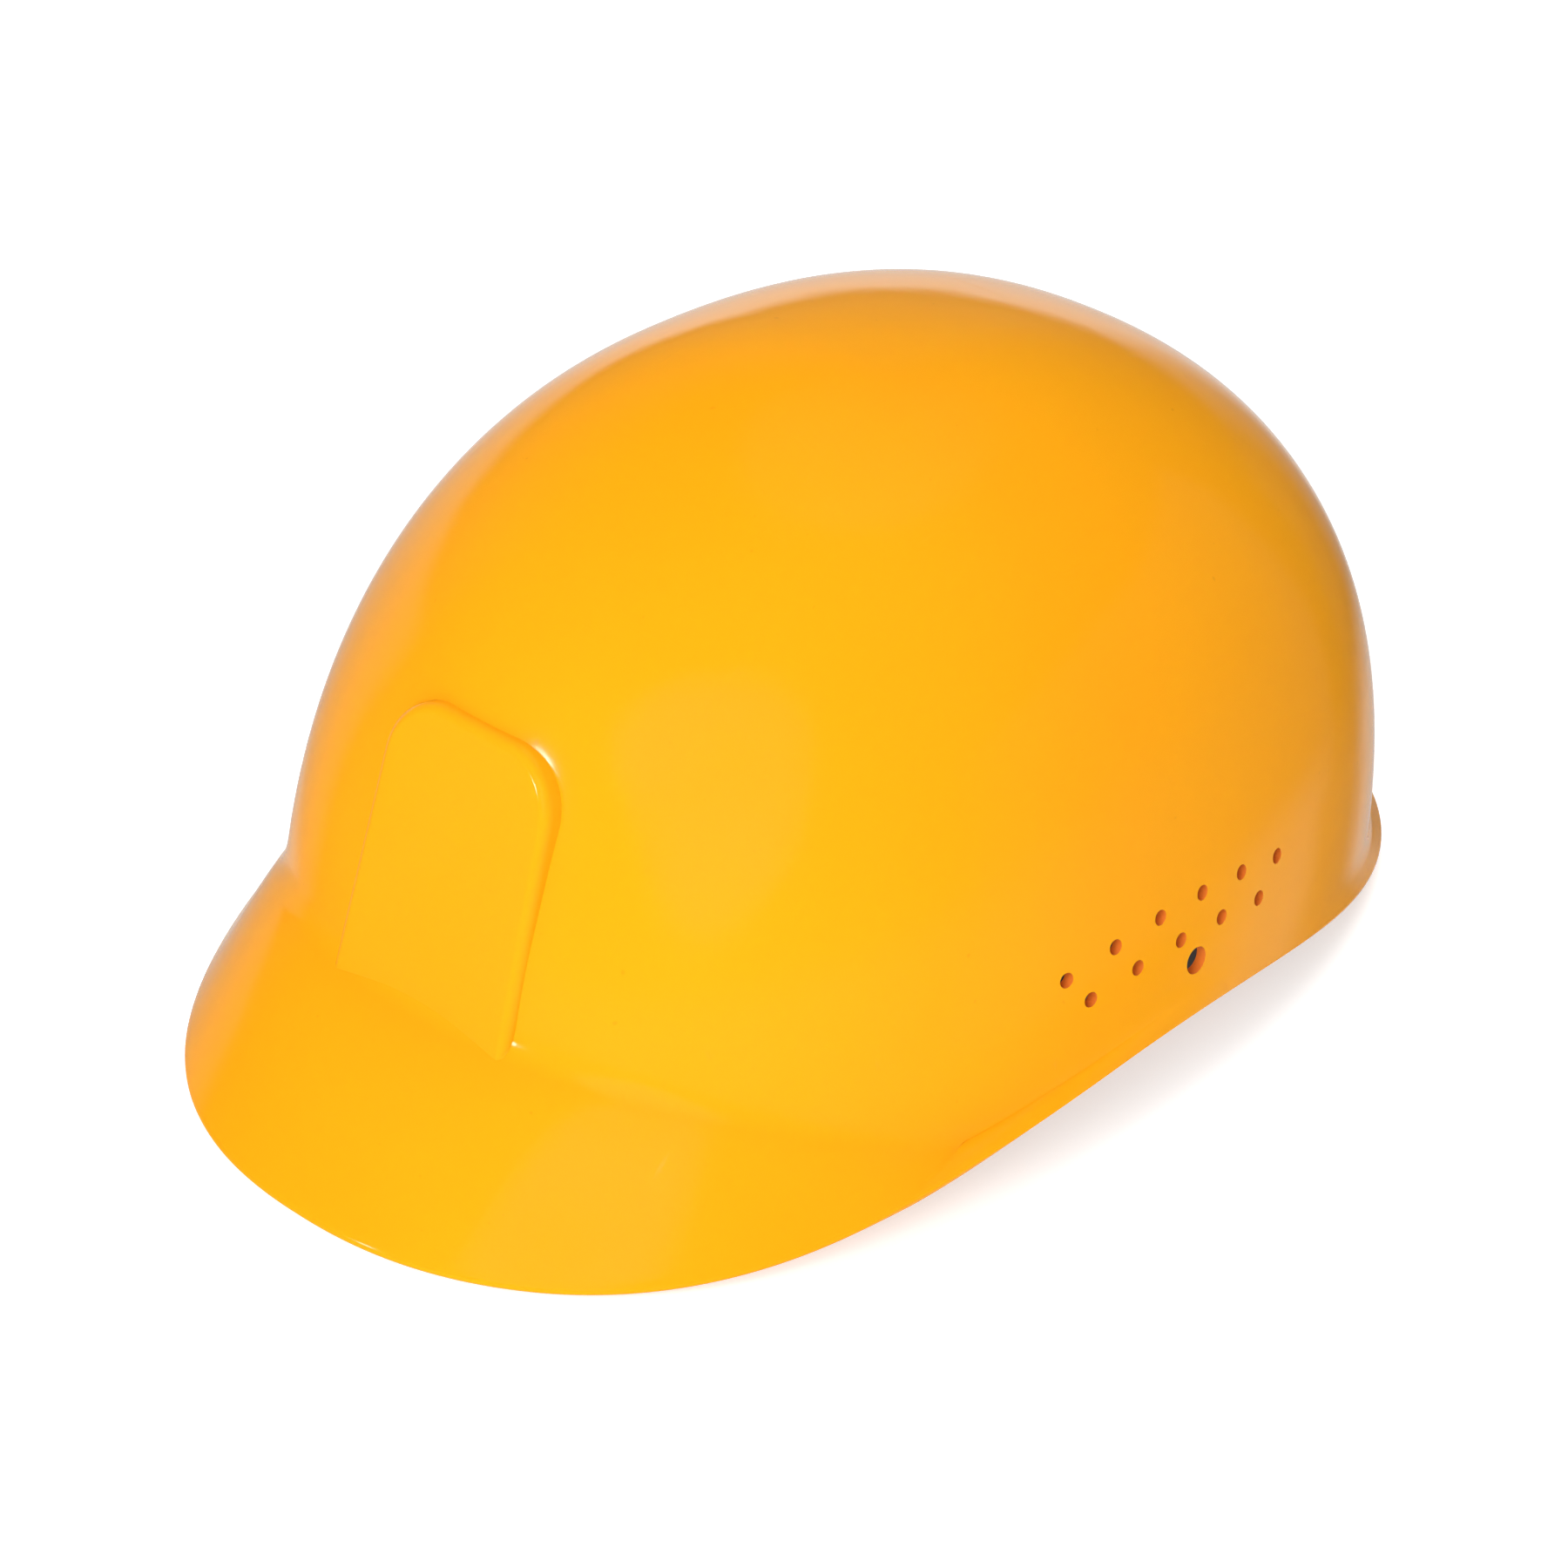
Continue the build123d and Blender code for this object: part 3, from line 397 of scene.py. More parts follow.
def root_point(angle, rim):
    ahead = min(max((PEAK_END_Y - rim[1]) / (PEAK_END_Y - RIM_FRONT_Y), 0.0), 1.0)
    share = (ahead * ahead * (3 - 2 * ahead)) ** 0.6
    return dome_point(angle, rim[2] + LIP_HEIGHT + (PEAK_ROOT_HEIGHT - LIP_HEIGHT) * share)


def skirt_point(root, rim, share):
    out = root + (rim - root) * share
    out[2] = root[2] + (rim[2] - root[2]) * share ** PEAK_DROOP
    return out


def wall_row(angle, rows):
    """Points down the middle of the wall at one angle: 0 crown, 1 to 2 brim root blend, 3 rim."""
    rim = rim_point(angle)
    root = root_point(angle, rim)
    length = float(np.linalg.norm(rim - root))
    blend = min(ROOT_BLEND, 0.45 * length)
    top = root[2] + blend
    share = blend / length
    above, below = dome_point(angle, top), skirt_point(root, rim, share)
    points = []
    for row in rows:
        if row <= 1:
            points.append(dome_point(angle, CROWN_HEIGHT - (CROWN_HEIGHT - top) * (1 - cos(row * pi / 2))))
        elif row <= 2:
            t = row - 1
            points.append(above * (1 - t) ** 2 + root * 2 * t * (1 - t) + below * t * t)
        else:
            points.append(skirt_point(root, rim, share + (1 - share) * (row - 2)))
    return points


def wall_grid(count, rows):
    """Wall points and normals on a grid, rows by angles."""
    step = 1e-4
    angles = [2 * pi * i / count for i in range(count)]
    grid = np.array([wall_row(a, rows) for a in angles]).transpose(1, 0, 2)
    ahead = np.array([wall_row(a + step, rows) for a in angles]).transpose(1, 0, 2)
    behind = np.array([wall_row(a - step, rows) for a in angles]).transpose(1, 0, 2)
    lower = np.array([wall_row(a, [min(r + step, 3.0) for r in rows]) for a in angles]).transpose(1, 0, 2)
    upper = np.array([wall_row(a, [max(r - step, 1e-5) for r in rows]) for a in angles]).transpose(1, 0, 2)
    normal = np.cross(lower - upper, ahead - behind)
    normal /= np.linalg.norm(normal, axis=2, keepdims=True)
    return grid, normal


def shell_mesh():
    """The crown, brim root and skirt as one closed wall with a round lip."""
    count = SHELL_COLUMNS
    rows = []
    for first, number in ((0, CROWN_ROWS), (1, ROOT_ROWS), (2, SKIRT_ROWS)):
        rows += [first + i / number for i in range(1, number + 1)]
    grid, normal = wall_grid(count, rows)
    half = WALL / 2
    outer = grid + normal * half
    inner = grid - normal * half
    rings = list(outer)
    end, up = grid[-1], normal[-1]
    outward = grid[-1] - grid[-2]
    outward /= np.linalg.norm(outward, axis=1, keepdims=True)
    for i in range(1, LIP_STEPS):
        turn = pi * i / LIP_STEPS
        rings.append(end + (up * cos(turn) + outward * sin(turn)) * half)
    rings += list(inner[::-1])
    verts = [tuple(p) for ring in rings for p in ring]
    faces = loft_faces(len(rings), count)
    top, bottom = len(verts), len(verts) + 1
    verts += [(0, CROWN_Y, CROWN_HEIGHT + half), (0, CROWN_Y, CROWN_HEIGHT - half)]
    last = (len(rings) - 1) * count
    for j in range(count):
        k = (j + 1) % count
        faces.append((top, k, j))
        faces.append((bottom, last + j, last + k))
    return build("shell_wall", verts, faces, SHELL_MAT)


def side_holes():
    """Centre and radius of every vent and strap hole on one side, as (y, z, radius)."""
    holes = []
    for start, number, middle in VENT_ROWS:
        for i in range(number):
            y = start + VENT_PITCH * i
            holes.append((y, middle - (y - ROW_CENTRE_Y) ** 2 / (2 * ROW_ARC_RADIUS), VENT_RADIUS))
    return holes + [(STRAP_HOLE_Y, STRAP_HOLE_Z, STRAP_HOLE_RADIUS)]


def drill(shell):
    """Cuts the vents and strap holes through both sides. Their walls get a duller finish and a darker colour,
    which is painted shade inside the holes.
    """
    verts, faces = [], []
    count = HOLE_SIDES
    for y, z, radius in side_holes():
        for side in (1, -1):
            start = len(verts)
            for x in (CUT_NEAR * side, CUT_FAR * side):
                for j in range(count):
                    a = 2 * pi * j / count
                    verts.append((x, y + radius * cos(a), z + radius * sin(a)))
            for j in range(count):
                k = (j + 1) % count
                quad = (start + j, start + k, start + count + k, start + count + j)
                faces.append(quad if side > 0 else quad[::-1])
            near = tuple(range(start, start + count))
            far = tuple(range(start + count, start + 2 * count))
            faces.append(near[::-1] if side > 0 else near)
            faces.append(far if side > 0 else far[::-1])
    shell.data.materials.append(BORE_PAINTED_SHADE_MAT)
    cutter = build("hole_cutters", verts, faces, SHELL_MAT)
    cutter.data.materials.append(BORE_PAINTED_SHADE_MAT)
    for face in cutter.data.polygons:
        face.material_index = 1
    face_outward(cutter)
    cut = shell.modifiers.new("holes", "BOOLEAN")
    cut.operation, cut.solver, cut.object = "DIFFERENCE", "EXACT", cutter
    bake(shell)
    bpy.data.objects.remove(cutter)


def panel_frame():
    """Middle of the forehead panel's base, and its up and out directions."""
    lean = radians(PANEL_LEAN)
    up = np.array((0.0, sin(lean), cos(lean)))
    out = np.array((0.0, -cos(lean), sin(lean)))
    base = np.array((0.0, PANEL_BASE_Y, PANEL_BASE_Z))
    return base, up, out


def panel_outline(inset):
    """Left edge of the forehead panel from the bottom up as (x, height) pairs, with its top corner round."""
    slope = (PANEL_BASE_HALF - PANEL_TOP_HALF) / PANEL_HEIGHT
    radius = PANEL_CORNER - inset
    centre_h = PANEL_HEIGHT - PANEL_CORNER
    centre_x = PANEL_BASE_HALF - slope * centre_h - PANEL_CORNER
    pairs = []
    for i in range(PANEL_SIDE_ROWS + 1):
        h = -PANEL_SINK + (centre_h + PANEL_SINK) * i / PANEL_SIDE_ROWS
        pairs.append((-(centre_x + radius + slope * (centre_h - h)), h))
    for i in range(1, PANEL_CORNER_ROWS + 1):
        turn = pi / 2 * i / PANEL_CORNER_ROWS
        pairs.append((-(centre_x + radius * cos(turn)), centre_h + radius * sin(turn)))
    return pairs


def panel_ring(inset):
    """The whole edge of the panel at an inset, up the left side, along the top and down the right side."""
    left = panel_outline(inset)
    x, top = left[-1]
    middle = [(x - 2 * x * i / PANEL_COLUMNS, top) for i in range(1, PANEL_COLUMNS)]
    return left + middle + [(-x, h) for x, h in reversed(left)]


def wall_tree():
    """Search tree of the middle of the wall, and its outward normals."""
    count, rows = 180, [i / 40 for i in range(1, 41)] + [1 + i / 6 for i in range(1, 7)] + [2.2, 2.5, 3.0]
    grid, normal = wall_grid(count, rows)
    faces = loft_faces(len(rows), count)
    tree = BVHTree.FromPolygons([tuple(p) for ring in grid for p in ring], faces)
    return tree, [n for ring in normal for n in ring], faces


def panel_mesh():
    """Raised panel: a front grid, a rounded edge and drafted sides that end inside the shell's wall."""
    base, up, out = panel_frame()
    tree, normals, wall_faces = wall_tree()
    verts, faces = [], []

    def above(point):
        """Height of a point over the middle of the wall, and the nearest point on it."""
        near, _, face, _ = tree.find_nearest(Vector(point))
        normal = normals[wall_faces[face][0]]
        return float(np.dot(point - np.array(near), normal)), np.array(near)

    def place(x, h, depth):
        point = base + up * h - out * depth + np.array((x, 0, 0))
        height, near = above(point)
        verts.append(tuple(point if height > 0 else near))

    for x, h in panel_outline(PANEL_ROUND):
        for i in range(PANEL_COLUMNS + 1):
            place(x - 2 * x * i / PANEL_COLUMNS, h, 0.0)
    rows, columns = PANEL_SIDE_ROWS + PANEL_CORNER_ROWS + 1, PANEL_COLUMNS + 1
    for i in range(rows - 1):
        for j in range(columns - 1):
            a = i * columns + j
            faces.append((a, a + 1, a + columns + 1, a + columns))
    start, rings = len(verts), PANEL_EDGE_RINGS
    for i in range(rings):
        turn = pi / 2 * i / (rings - 1)
        for x, h in panel_ring(PANEL_ROUND * (1 - sin(turn))):
            place(x, h, PANEL_ROUND * (1 - cos(turn)))
    count = (len(verts) - start) // rings
    edge = panel_ring(0.0)
    spread = tan(radians(PANEL_DRAFT))
    for i in range(1, PANEL_WALL_RINGS + 1):
        for k, (x, h) in enumerate(edge):
            ahead, behind = edge[min(k + 1, count - 1)], edge[max(k - 1, 0)]
            length = hypot(ahead[0] - behind[0], ahead[1] - behind[1])
            side = (-(ahead[1] - behind[1]) / length, (ahead[0] - behind[0]) / length)
            point = base + up * h - out * PANEL_ROUND + np.array((x, 0, 0))
            way = -out + up * side[1] * spread + np.array((side[0] * spread, 0, 0))
            height, near = above(point)
            hit = tree.ray_cast(Vector(point), Vector(way), PANEL_REACH)[0] if height > 0 else None
            end = np.array(hit) if hit is not None else near
            verts.append(tuple(point + (end - point) * i / PANEL_WALL_RINGS if height > 0 else near))
    for i in range(rings + PANEL_WALL_RINGS - 1):
        for j in range(count - 1):
            a = start + i * count + j
            faces.append((a, a + 1, a + count + 1, a + count))
    obj = build("shell_front_panel", verts, faces, SHELL_MAT)
    work = bmesh.new()
    work.from_mesh(obj.data)
    bmesh.ops.remove_doubles(work, verts=work.verts, dist=0.01 * MM)
    bmesh.ops.dissolve_degenerate(work, edges=work.edges, dist=0.005 * MM)
    bmesh.ops.recalc_face_normals(work, faces=work.faces)
    middle = [f for f in work.faces if abs(f.calc_center_median().x) < 5 * MM]
    if sum(f.normal.y for f in middle) > 0:
        bmesh.ops.reverse_faces(work, faces=work.faces)
    for face in work.faces:
        face.smooth = True
    work.to_mesh(obj.data)
    work.free()
    return obj


def ride(obj, body, slot, *nodes):
    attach(obj, body)
    if nodes:
        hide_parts(*nodes)


shell = shell_mesh()
drill(shell)
for poly in shell.data.polygons:
    poly.use_smooth = True
shell.data.set_sharp_from_angle(angle=radians(40))
ride(shell, "cap", "shell", "shell")
panel = panel_mesh()
ride(panel, "cap", "shell", "shell")

# ---- sockets moulded on the inside of the shell

def diagonal(side, end):
    """Origin and u, t axes of one strap diagonal; side +1 is left, end +1 is the front."""
    u = np.array((side * sin(radians(DIAGONAL)), -end * cos(radians(DIAGONAL)), 0.0))
    t = np.array((-u[1], u[0], 0.0))
    return np.array((0.0, CROSSING_Y, 0.0)), u, t


def inner_reach(side, end, t_off, z):
    """How far out along a diagonal the middle of the wall is."""
    origin, u, t = diagonal(side, end)
    low, high = 40.0, 140.0
    for _ in range(30):
        reach = (low + high) / 2
        p = origin + u * reach + t * t_off
        angle = atan2(p[0], -(p[1] - CROWN_Y))
        start, stop = angle - 0.3, angle + 0.3
        for _ in range(24):
            middle = (start + stop) / 2
            q = dome_point(middle, z)
            if atan2(q[0], -(q[1] - CROWN_Y)) < angle:
                start = middle
            else:
                stop = middle
        q = dome_point(start, z)
        if hypot(p[0], p[1] - CROWN_Y) < hypot(q[0], q[1] - CROWN_Y):
            low = reach
        else:
            high = reach
    return low


def socket_mesh(name, side, end):
    """Pocket open at the bottom: a U of three walls and a roof that run out into the shell wall."""
    origin, u, t = diagonal(side, end)
    band_u = FRONT_BAND_U if end > 0 else REAR_BAND_U
    face = band_u + PLATE_OFFSET - SOCKET_GAP - SOCKET_WALL
    gap = TONGUE_HALF + SOCKET_GAP
    half = gap + SOCKET_SIDE
    roof = TONGUE_TOP + TONGUE_ROOM
    verts, faces = [], []

    def corner(u_value, t_value, z):
        verts.append(tuple(origin + u * u_value + t * t_value + np.array((0, 0, z))))
        return len(verts) - 1

    def slab(u_end, t_range, z_range):
        """Block from the pocket's face out to u_end, or to the middle of the wall where that is nearer."""
        ids = []
        for z in z_range:
            for t_value in t_range:
                deep = inner_reach(side, end, t_value, z)
                ids.append(corner(face, t_value, z))
                ids.append(corner(min(u_end, deep), t_value, z))
        a, b, c, d, e, f, g, h = ids
        for quad in ((a, b, d, c), (e, g, h, f), (a, e, f, b), (c, d, h, g), (a, c, g, e), (b, f, h, d)):
            faces.append(quad)

    slab(face + SOCKET_WALL, (-half, half), (SOCKET_Z, SOCKET_TOP))
    slab(inf, (-half, -gap), (SOCKET_Z, SOCKET_TOP))
    slab(inf, (gap, half), (SOCKET_Z, SOCKET_TOP))
    slab(inf, (-half, half), (roof, SOCKET_TOP))
    obj = build(name, verts, faces, SHELL_MAT, smooth=False)
    face_outward(obj)
    soften = obj.modifiers.new("soften", "BEVEL")
    soften.width, soften.segments = SOCKET_EDGE * MM, 2
    bake(obj)
    ride(obj, "cap", "shell", "shell")


for side_name, side in (("left", 1), ("right", -1)):
    for end_name, end in (("front", 1), ("rear", -1)):
        socket_mesh("shell_socket_" + end_name + "_" + side_name, side, end)


# ---- crown webbing

def smooth_path(points, step):
    """Points along a Catmull-Rom curve at about even steps."""
    points = [np.array(p, float) for p in points]
    ends = [2 * points[0] - points[1]] + points + [2 * points[-1] - points[-2]]
    dense = []
    for a, b, c, d in zip(ends, ends[1:], ends[2:], ends[3:]):
        for i in range(12):
            s = i / 12
            dense.append(0.5 * (2 * b + (c - a) * s + (2 * a - 5 * b + 4 * c - d) * s * s
                                + (3 * b - a - 3 * c + d) * s ** 3))
    dense.append(points[-1])
    lengths = [0.0]
    for a, b in zip(dense, dense[1:]):
        lengths.append(lengths[-1] + float(np.linalg.norm(b - a)))
    count = int(lengths[-1] / step)
    wanted = np.linspace(0, lengths[-1], count + 1)
    path = np.array([[np.interp(w, lengths, [p[k] for p in dense]) for k in range(2)] for w in wanted])
    return path, lengths[-1]


def strap_path(rise):
    """Centre line in the strap's own plane: the front half has positive u."""
    points = []
    for sign, band_u in ((1, FRONT_BAND_U), (-1, REAR_BAND_U)):
        reach = band_u + WEB_FROM_BAND
        inner, outer = band_u + PLATE_OFFSET, band_u + PLATE_OFFSET + PLATE
        lap = []
        for z in (75.0, 69.0, 63.0, 58.0, 54.5):
            lap.append((reach * sqrt(1 - ((z - WEB_BASE_Z) / rise) ** 2) + WEB + LAP_GAP, z))
        middle, over, beneath = (inner + outer) / 2, SLOT_Z + LOOP_GAP, BAR_Z - LOOP_GAP
        lap += [(inner - 0.3, over + 0.35), (middle, over), (outer + 0.5, over - 0.4),
                (outer + LOOP_GAP, SLOT_Z - 0.6), (outer + LOOP_GAP, BAR_Z + 0.6),
                (outer + 0.5, beneath + 0.4), (middle, beneath), (inner - 0.6, beneath + 0.1),
                (inner - 1.7, BAR_Z + 0.3), (reach + 0.1, BAR_Z + 2.6)]
        run = []
        for i in range(1, 16):
            a = radians(8 + 82 * i / 16)
            run.append((reach * cos(a), WEB_BASE_Z + rise * sin(a)))
        half = lap + run
        if sign > 0:
            points += half + [(0.0, WEB_BASE_Z + rise)]
        else:
            points += [(-u, z) for u, z in reversed(half)]
    return points


def strap_mesh(name, side, rise):
    """One crown strap with a loop round the key's bar at each end."""
    path, length = smooth_path(strap_path(rise), PATH_STEP)
    origin, u, t = diagonal(side, 1)
    ahead = np.gradient(path, axis=0)
    ahead /= np.linalg.norm(ahead, axis=1, keepdims=True)
    half, thick = WEB_HALF - 0.15, WEB / 2 - 0.02
    section = []
    for i in range(13):
        section.append((-half + 2 * half * i / 12, thick))
    section += [(half + 0.12, thick * 0.5), (half + 0.12, -thick * 0.5)]
    for i in range(13):
        section.append((half - 2 * half * i / 12, -thick))
    section += [(-half - 0.12, -thick * 0.5), (-half - 0.12, thick * 0.5)]
    count = len(section)
    verts, uvs = [], []
    for i, (p, d) in enumerate(zip(path, ahead)):
        normal = np.array((-d[1], d[0]))
        for t_value, n_value in section:
            edge = min(1.0, (half - abs(t_value) + 0.9) / 0.9) if abs(t_value) < half else 0.85
            q = p + normal * n_value * (0.86 + 0.14 * edge)
            verts.append(tuple(origin + u * q[0] + t * t_value + np.array((0, 0, q[1]))))
            uvs.append((t_value, length * i / (len(path) - 1)))
    faces = loft_faces(len(path), count)
    faces.append(tuple(range(count))[::-1])
    faces.append(tuple(range((len(path) - 1) * count, len(path) * count)))
    obj = build(name, verts, faces, WEB_MAT, sharp=60)
    layer = obj.data.uv_layers.new(name="UVMap")
    for loop in obj.data.loops:
        layer.data[loop.index].uv = uvs[loop.vertex_index]
    face_outward(obj)
    return obj


def stitch(verts, faces, start, finish, normal, radius=0.24, lift=0.1):
    """One thread stitch that dips into the cloth at both ends."""
    start, finish, normal = np.array(start), np.array(finish), np.array(normal)
    along = finish - start
    across = np.cross(along / np.linalg.norm(along), normal)
    base = len(verts)
    for i in range(STITCH_RINGS):
        s = i / (STITCH_RINGS - 1)
        centre = start + along * s + normal * (lift * 4 * s * (1 - s) - STITCH_DIP)
        size = radius * (0.55 + 0.45 * sin(pi * s))
        for k in range(STITCH_SIDES):
            a = 2 * pi * k / STITCH_SIDES
            verts.append(tuple(centre + across * (size * cos(a)) + normal * (size * sin(a))))
    for face in loft_faces(STITCH_RINGS, STITCH_SIDES):
        faces.append(tuple(base + v for v in face))
    end = len(verts)
    faces.append(tuple(range(base, base + STITCH_SIDES))[::-1])
    faces.append(tuple(range(end - STITCH_SIDES, end)))


def strap_stitching(name, side, rise):
    """Box and cross of stitches on both faces where each end is sewn back to the strap."""
    verts, faces = [], []
    for end, s, band_u in ((1, side, FRONT_BAND_U), (-1, -side, REAR_BAND_U)):
        origin, u, t = diagonal(s, end)
        reach = band_u + WEB_FROM_BAND

        def place(t_value, z, face):
            """Point on the strap's inner (-1) or outer (1) face, and the way that face looks."""
            bend = sqrt(1 - ((z - WEB_BASE_Z) / rise) ** 2)
            normal = np.array((bend / reach, (z - WEB_BASE_Z) / (rise * rise)))
            normal /= np.linalg.norm(normal)
            off = -WEB / 2 if face < 0 else WEB / 2 + WEB + LAP_GAP
            q = np.array((reach * bend, z)) + normal * off
            world = origin + u * q[0] + t * t_value + np.array((0, 0, q[1]))
            facing = (u * normal[0] + np.array((0, 0, normal[1]))) * face
            return world, facing

        box = [(-BOX_HALF, BOX_LOW), (BOX_HALF, BOX_LOW), (BOX_HALF, BOX_HIGH), (-BOX_HALF, BOX_HIGH)]
        lines = [(box[i], box[(i + 1) % 4]) for i in range(4)] + [(box[0], box[2]), (box[1], box[3])]
        for face in (-1, 1):
            for (t0, z0), (t1, z1) in lines:
                length = hypot(t1 - t0, z1 - z0)
                number = int(length / BOX_STITCH)
                for i in range(number):
                    a, b = (i + 0.12) / number, (i + 0.88) / number
                    p, facing = place(t0 + (t1 - t0) * a, z0 + (z1 - z0) * a, face)
                    q, _ = place(t0 + (t1 - t0) * b, z0 + (z1 - z0) * b, face)
                    stitch(verts, faces, p, q, facing)
    return build(name, verts, faces, THREAD_MAT)


for name, side, rise in (("left", 1, WEB_RISES[0]), ("right", -1, WEB_RISES[1])):
    strap = strap_mesh(name + "_crown_webbing", side, rise)
    ride(strap, "harness", "webbing", name + "_crown_strap")
    threads = strap_stitching(name + "_crown_stitching", side, rise)
    ride(threads, "harness", "webbing", name + "_crown_strap")


# ---- sweatband and nape pad

def band_limits(y, inset):
    """Lower and upper edge of the headband's side view at a place along Y."""
    low = np.interp(y, (-100.0, 20.0, 112.0), (18.0, 9.0, 8.0)) + inset
    high = np.interp(y, (-100.0, 20.0, 112.0), (44.0, 37.0, 34.5)) - inset
    return float(low), float(high)


def cushion_strip(name, outer_r, thick, centre_y, start, finish, limits, facing, mat, seams):
    """Padded strip bent round an upright axis: flat at the back, crowned and channelled in front."""
    columns, across = PAD_COLUMNS, PAD_ACROSS
    verts = []
    for i in range(columns):
        s = i / (columns - 1)
        a = radians(start + (finish - start) * s)
        direction = np.array((sin(a), facing * cos(a), 0.0))
        low, high = limits(a)
        end_gap = min(s, 1 - s) * radians(abs(finish - start)) * outer_r
        end_fall = sqrt(max(0.0, 1 - (1 - min(end_gap / 3.2, 1.0)) ** 2))
        close = 1.0 if end_gap > 6 else 0.86 + 0.14 * sin(pi / 2 * end_gap / 6)
        middle, half = (low + high) / 2, (high - low) / 2 * close
        ring = []
        for j in range(across):
            v = -1 + 2 * j / (across - 1)
            ring.append((v, 1.0))
        for j in range(across - 2):
            v = 1 - 2 * (j + 1) / (across - 1)
            ring.append((v, 0.0))
        for v, front in ring:
            side_fall = sqrt(max(0.0, 1 - max(0.0, (abs(v) - 0.72) / 0.28) ** 2.2))
            depth = 0.0
            if front:
                puff = 0.62 + 0.38 * side_fall * (1 - 0.18 * v * v)
                depth = thick * puff * (0.35 + 0.65 * end_fall) if side_fall > 0 else thick * 0.35
                for kind, place, deep in seams:
                    if kind == "row":
                        depth -= deep * exp(-((v - place) * half / 0.9) ** 2)
                    else:
                        gap = (s - place) * radians(abs(finish - start)) * outer_r
                        depth -= deep * exp(-(gap / 1.1) ** 2)
                wrinkle = 0.10 * sin(26 * s * pi + 3 * v) * sin(9 * s * pi + 1.3)
                depth += wrinkle * side_fall
                depth = max(depth, 0.5)
                if abs(v) > 0.999:
                    depth = thick * 0.3
            else:
                depth = thick * 0.06
            edge_z = middle + v * half
            point = direction * (outer_r - depth)
            verts.append((point[0], centre_y + point[1], edge_z))
    count = 2 * across - 2
    faces = loft_faces(columns, count)
    faces.append(tuple(range(count)))
    faces.append(tuple(range((columns - 1) * count, columns * count))[::-1])
    obj = build(name, verts, faces, mat)
    face_outward(obj)
    return obj


def strip_stitches(name, outer_r, centre_y, start, finish, limits, facing, rows, depth_at):
    """Rows of stitches along a padded strip, at a depth in from its back."""
    verts, faces = [], []
    span = radians(abs(finish - start)) * outer_r
    number = int(span / PAD_STITCH)
    for row in rows:
        for i in range(1, number - 1):
            ends = []
            for part in (0.14, 0.86):
                s = (i + part) / number
                a = radians(start + (finish - start) * s)
                direction = np.array((sin(a), facing * cos(a), 0.0))
                low, high = limits(a)
                point = direction * (outer_r - depth_at)
                z = (low + high) / 2 + row * (high - low) / 2
                ends.append(np.array((point[0], centre_y + point[1], z)))
            stitch(verts, faces, ends[0], ends[1], -direction, 0.26, 0.15)
    return build(name, verts, faces, DARK_THREAD_MAT)


def brow_limits(a):
    y = FRONT_Y - (FRONT_RADIUS - 2) * cos(a)
    return band_limits(y, 2.7)


BROW_SEAMS = [("row", row, 1.1) for row in BROW_ROWS] + [("column", 0.125 * k, 0.9) for k in range(1, 8)]
NAPE_SEAMS = [("row", row, 1.2) for row in NAPE_ROWS] + [("column", 0.33, 1.1), ("column", 0.67, 1.1)]


def nape_limits(a):
    z = GEAR_Z
    fall = max(0.0, (abs(a) - radians(18)) / radians(6)) ** 2
    return z - 13.6 + 4 * fall, z + 13.6 - 4 * fall


brow = cushion_strip("brow_sweatband", BROW_OUTER, BROW_THICK, FRONT_Y, -BROW_SPAN, BROW_SPAN,
                     brow_limits, -1, KNIT_MAT, BROW_SEAMS)
ride(brow, "harness", "sweatband", "sweatband")
brow_thread = strip_stitches("sweatband_stitching", BROW_OUTER, FRONT_Y, -BROW_THREAD_SPAN, BROW_THREAD_SPAN,
                             brow_limits, -1, BROW_ROWS, BROW_THREAD_DEPTH)
ride(brow_thread, "harness", "sweatband", "sweatband")
nape = cushion_strip("nape_cushion", NAPE_OUTER, NAPE_THICK, REAR_Y, -NAPE_SPAN, NAPE_SPAN,
                     nape_limits, 1, KNIT_MAT, NAPE_SEAMS)
ride(nape, "harness", "nape_pad", "nape_pad")
nape_thread = strip_stitches("nape_pad_stitching", NAPE_OUTER, REAR_Y, -NAPE_THREAD_SPAN, NAPE_THREAD_SPAN,
                             nape_limits, 1, NAPE_ROWS, NAPE_THREAD_DEPTH)
ride(nape_thread, "harness", "nape_pad", "nape_pad")


# ---- CAD pieces keep their shape and get detailed materials

CAD_LOOKS = {
    "headband": BAND_MAT, "left_rack_strap": BAND_MAT, "right_rack_strap": BAND_MAT,
    "front_left_key": KEY_MAT, "front_right_key": KEY_MAT,
    "rear_left_key": KEY_MAT, "rear_right_key": KEY_MAT,
    "left_strap_keeper": KEY_MAT, "right_strap_keeper": KEY_MAT, "sweatband_studs": STUD_MAT,
    "ratchet_base": RATCHET_MAT, "ratchet_cover": RATCHET_MAT, "knob": KNOB_MAT,
    "pinion": GEAR_MAT, "detent_ring": GEAR_MAT, "knob_screw": STEEL_MAT,
}
for name, look in CAD_LOOKS.items():
    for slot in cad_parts[name].material_slots:
        slot.material = look

# ---- camera, floor and light

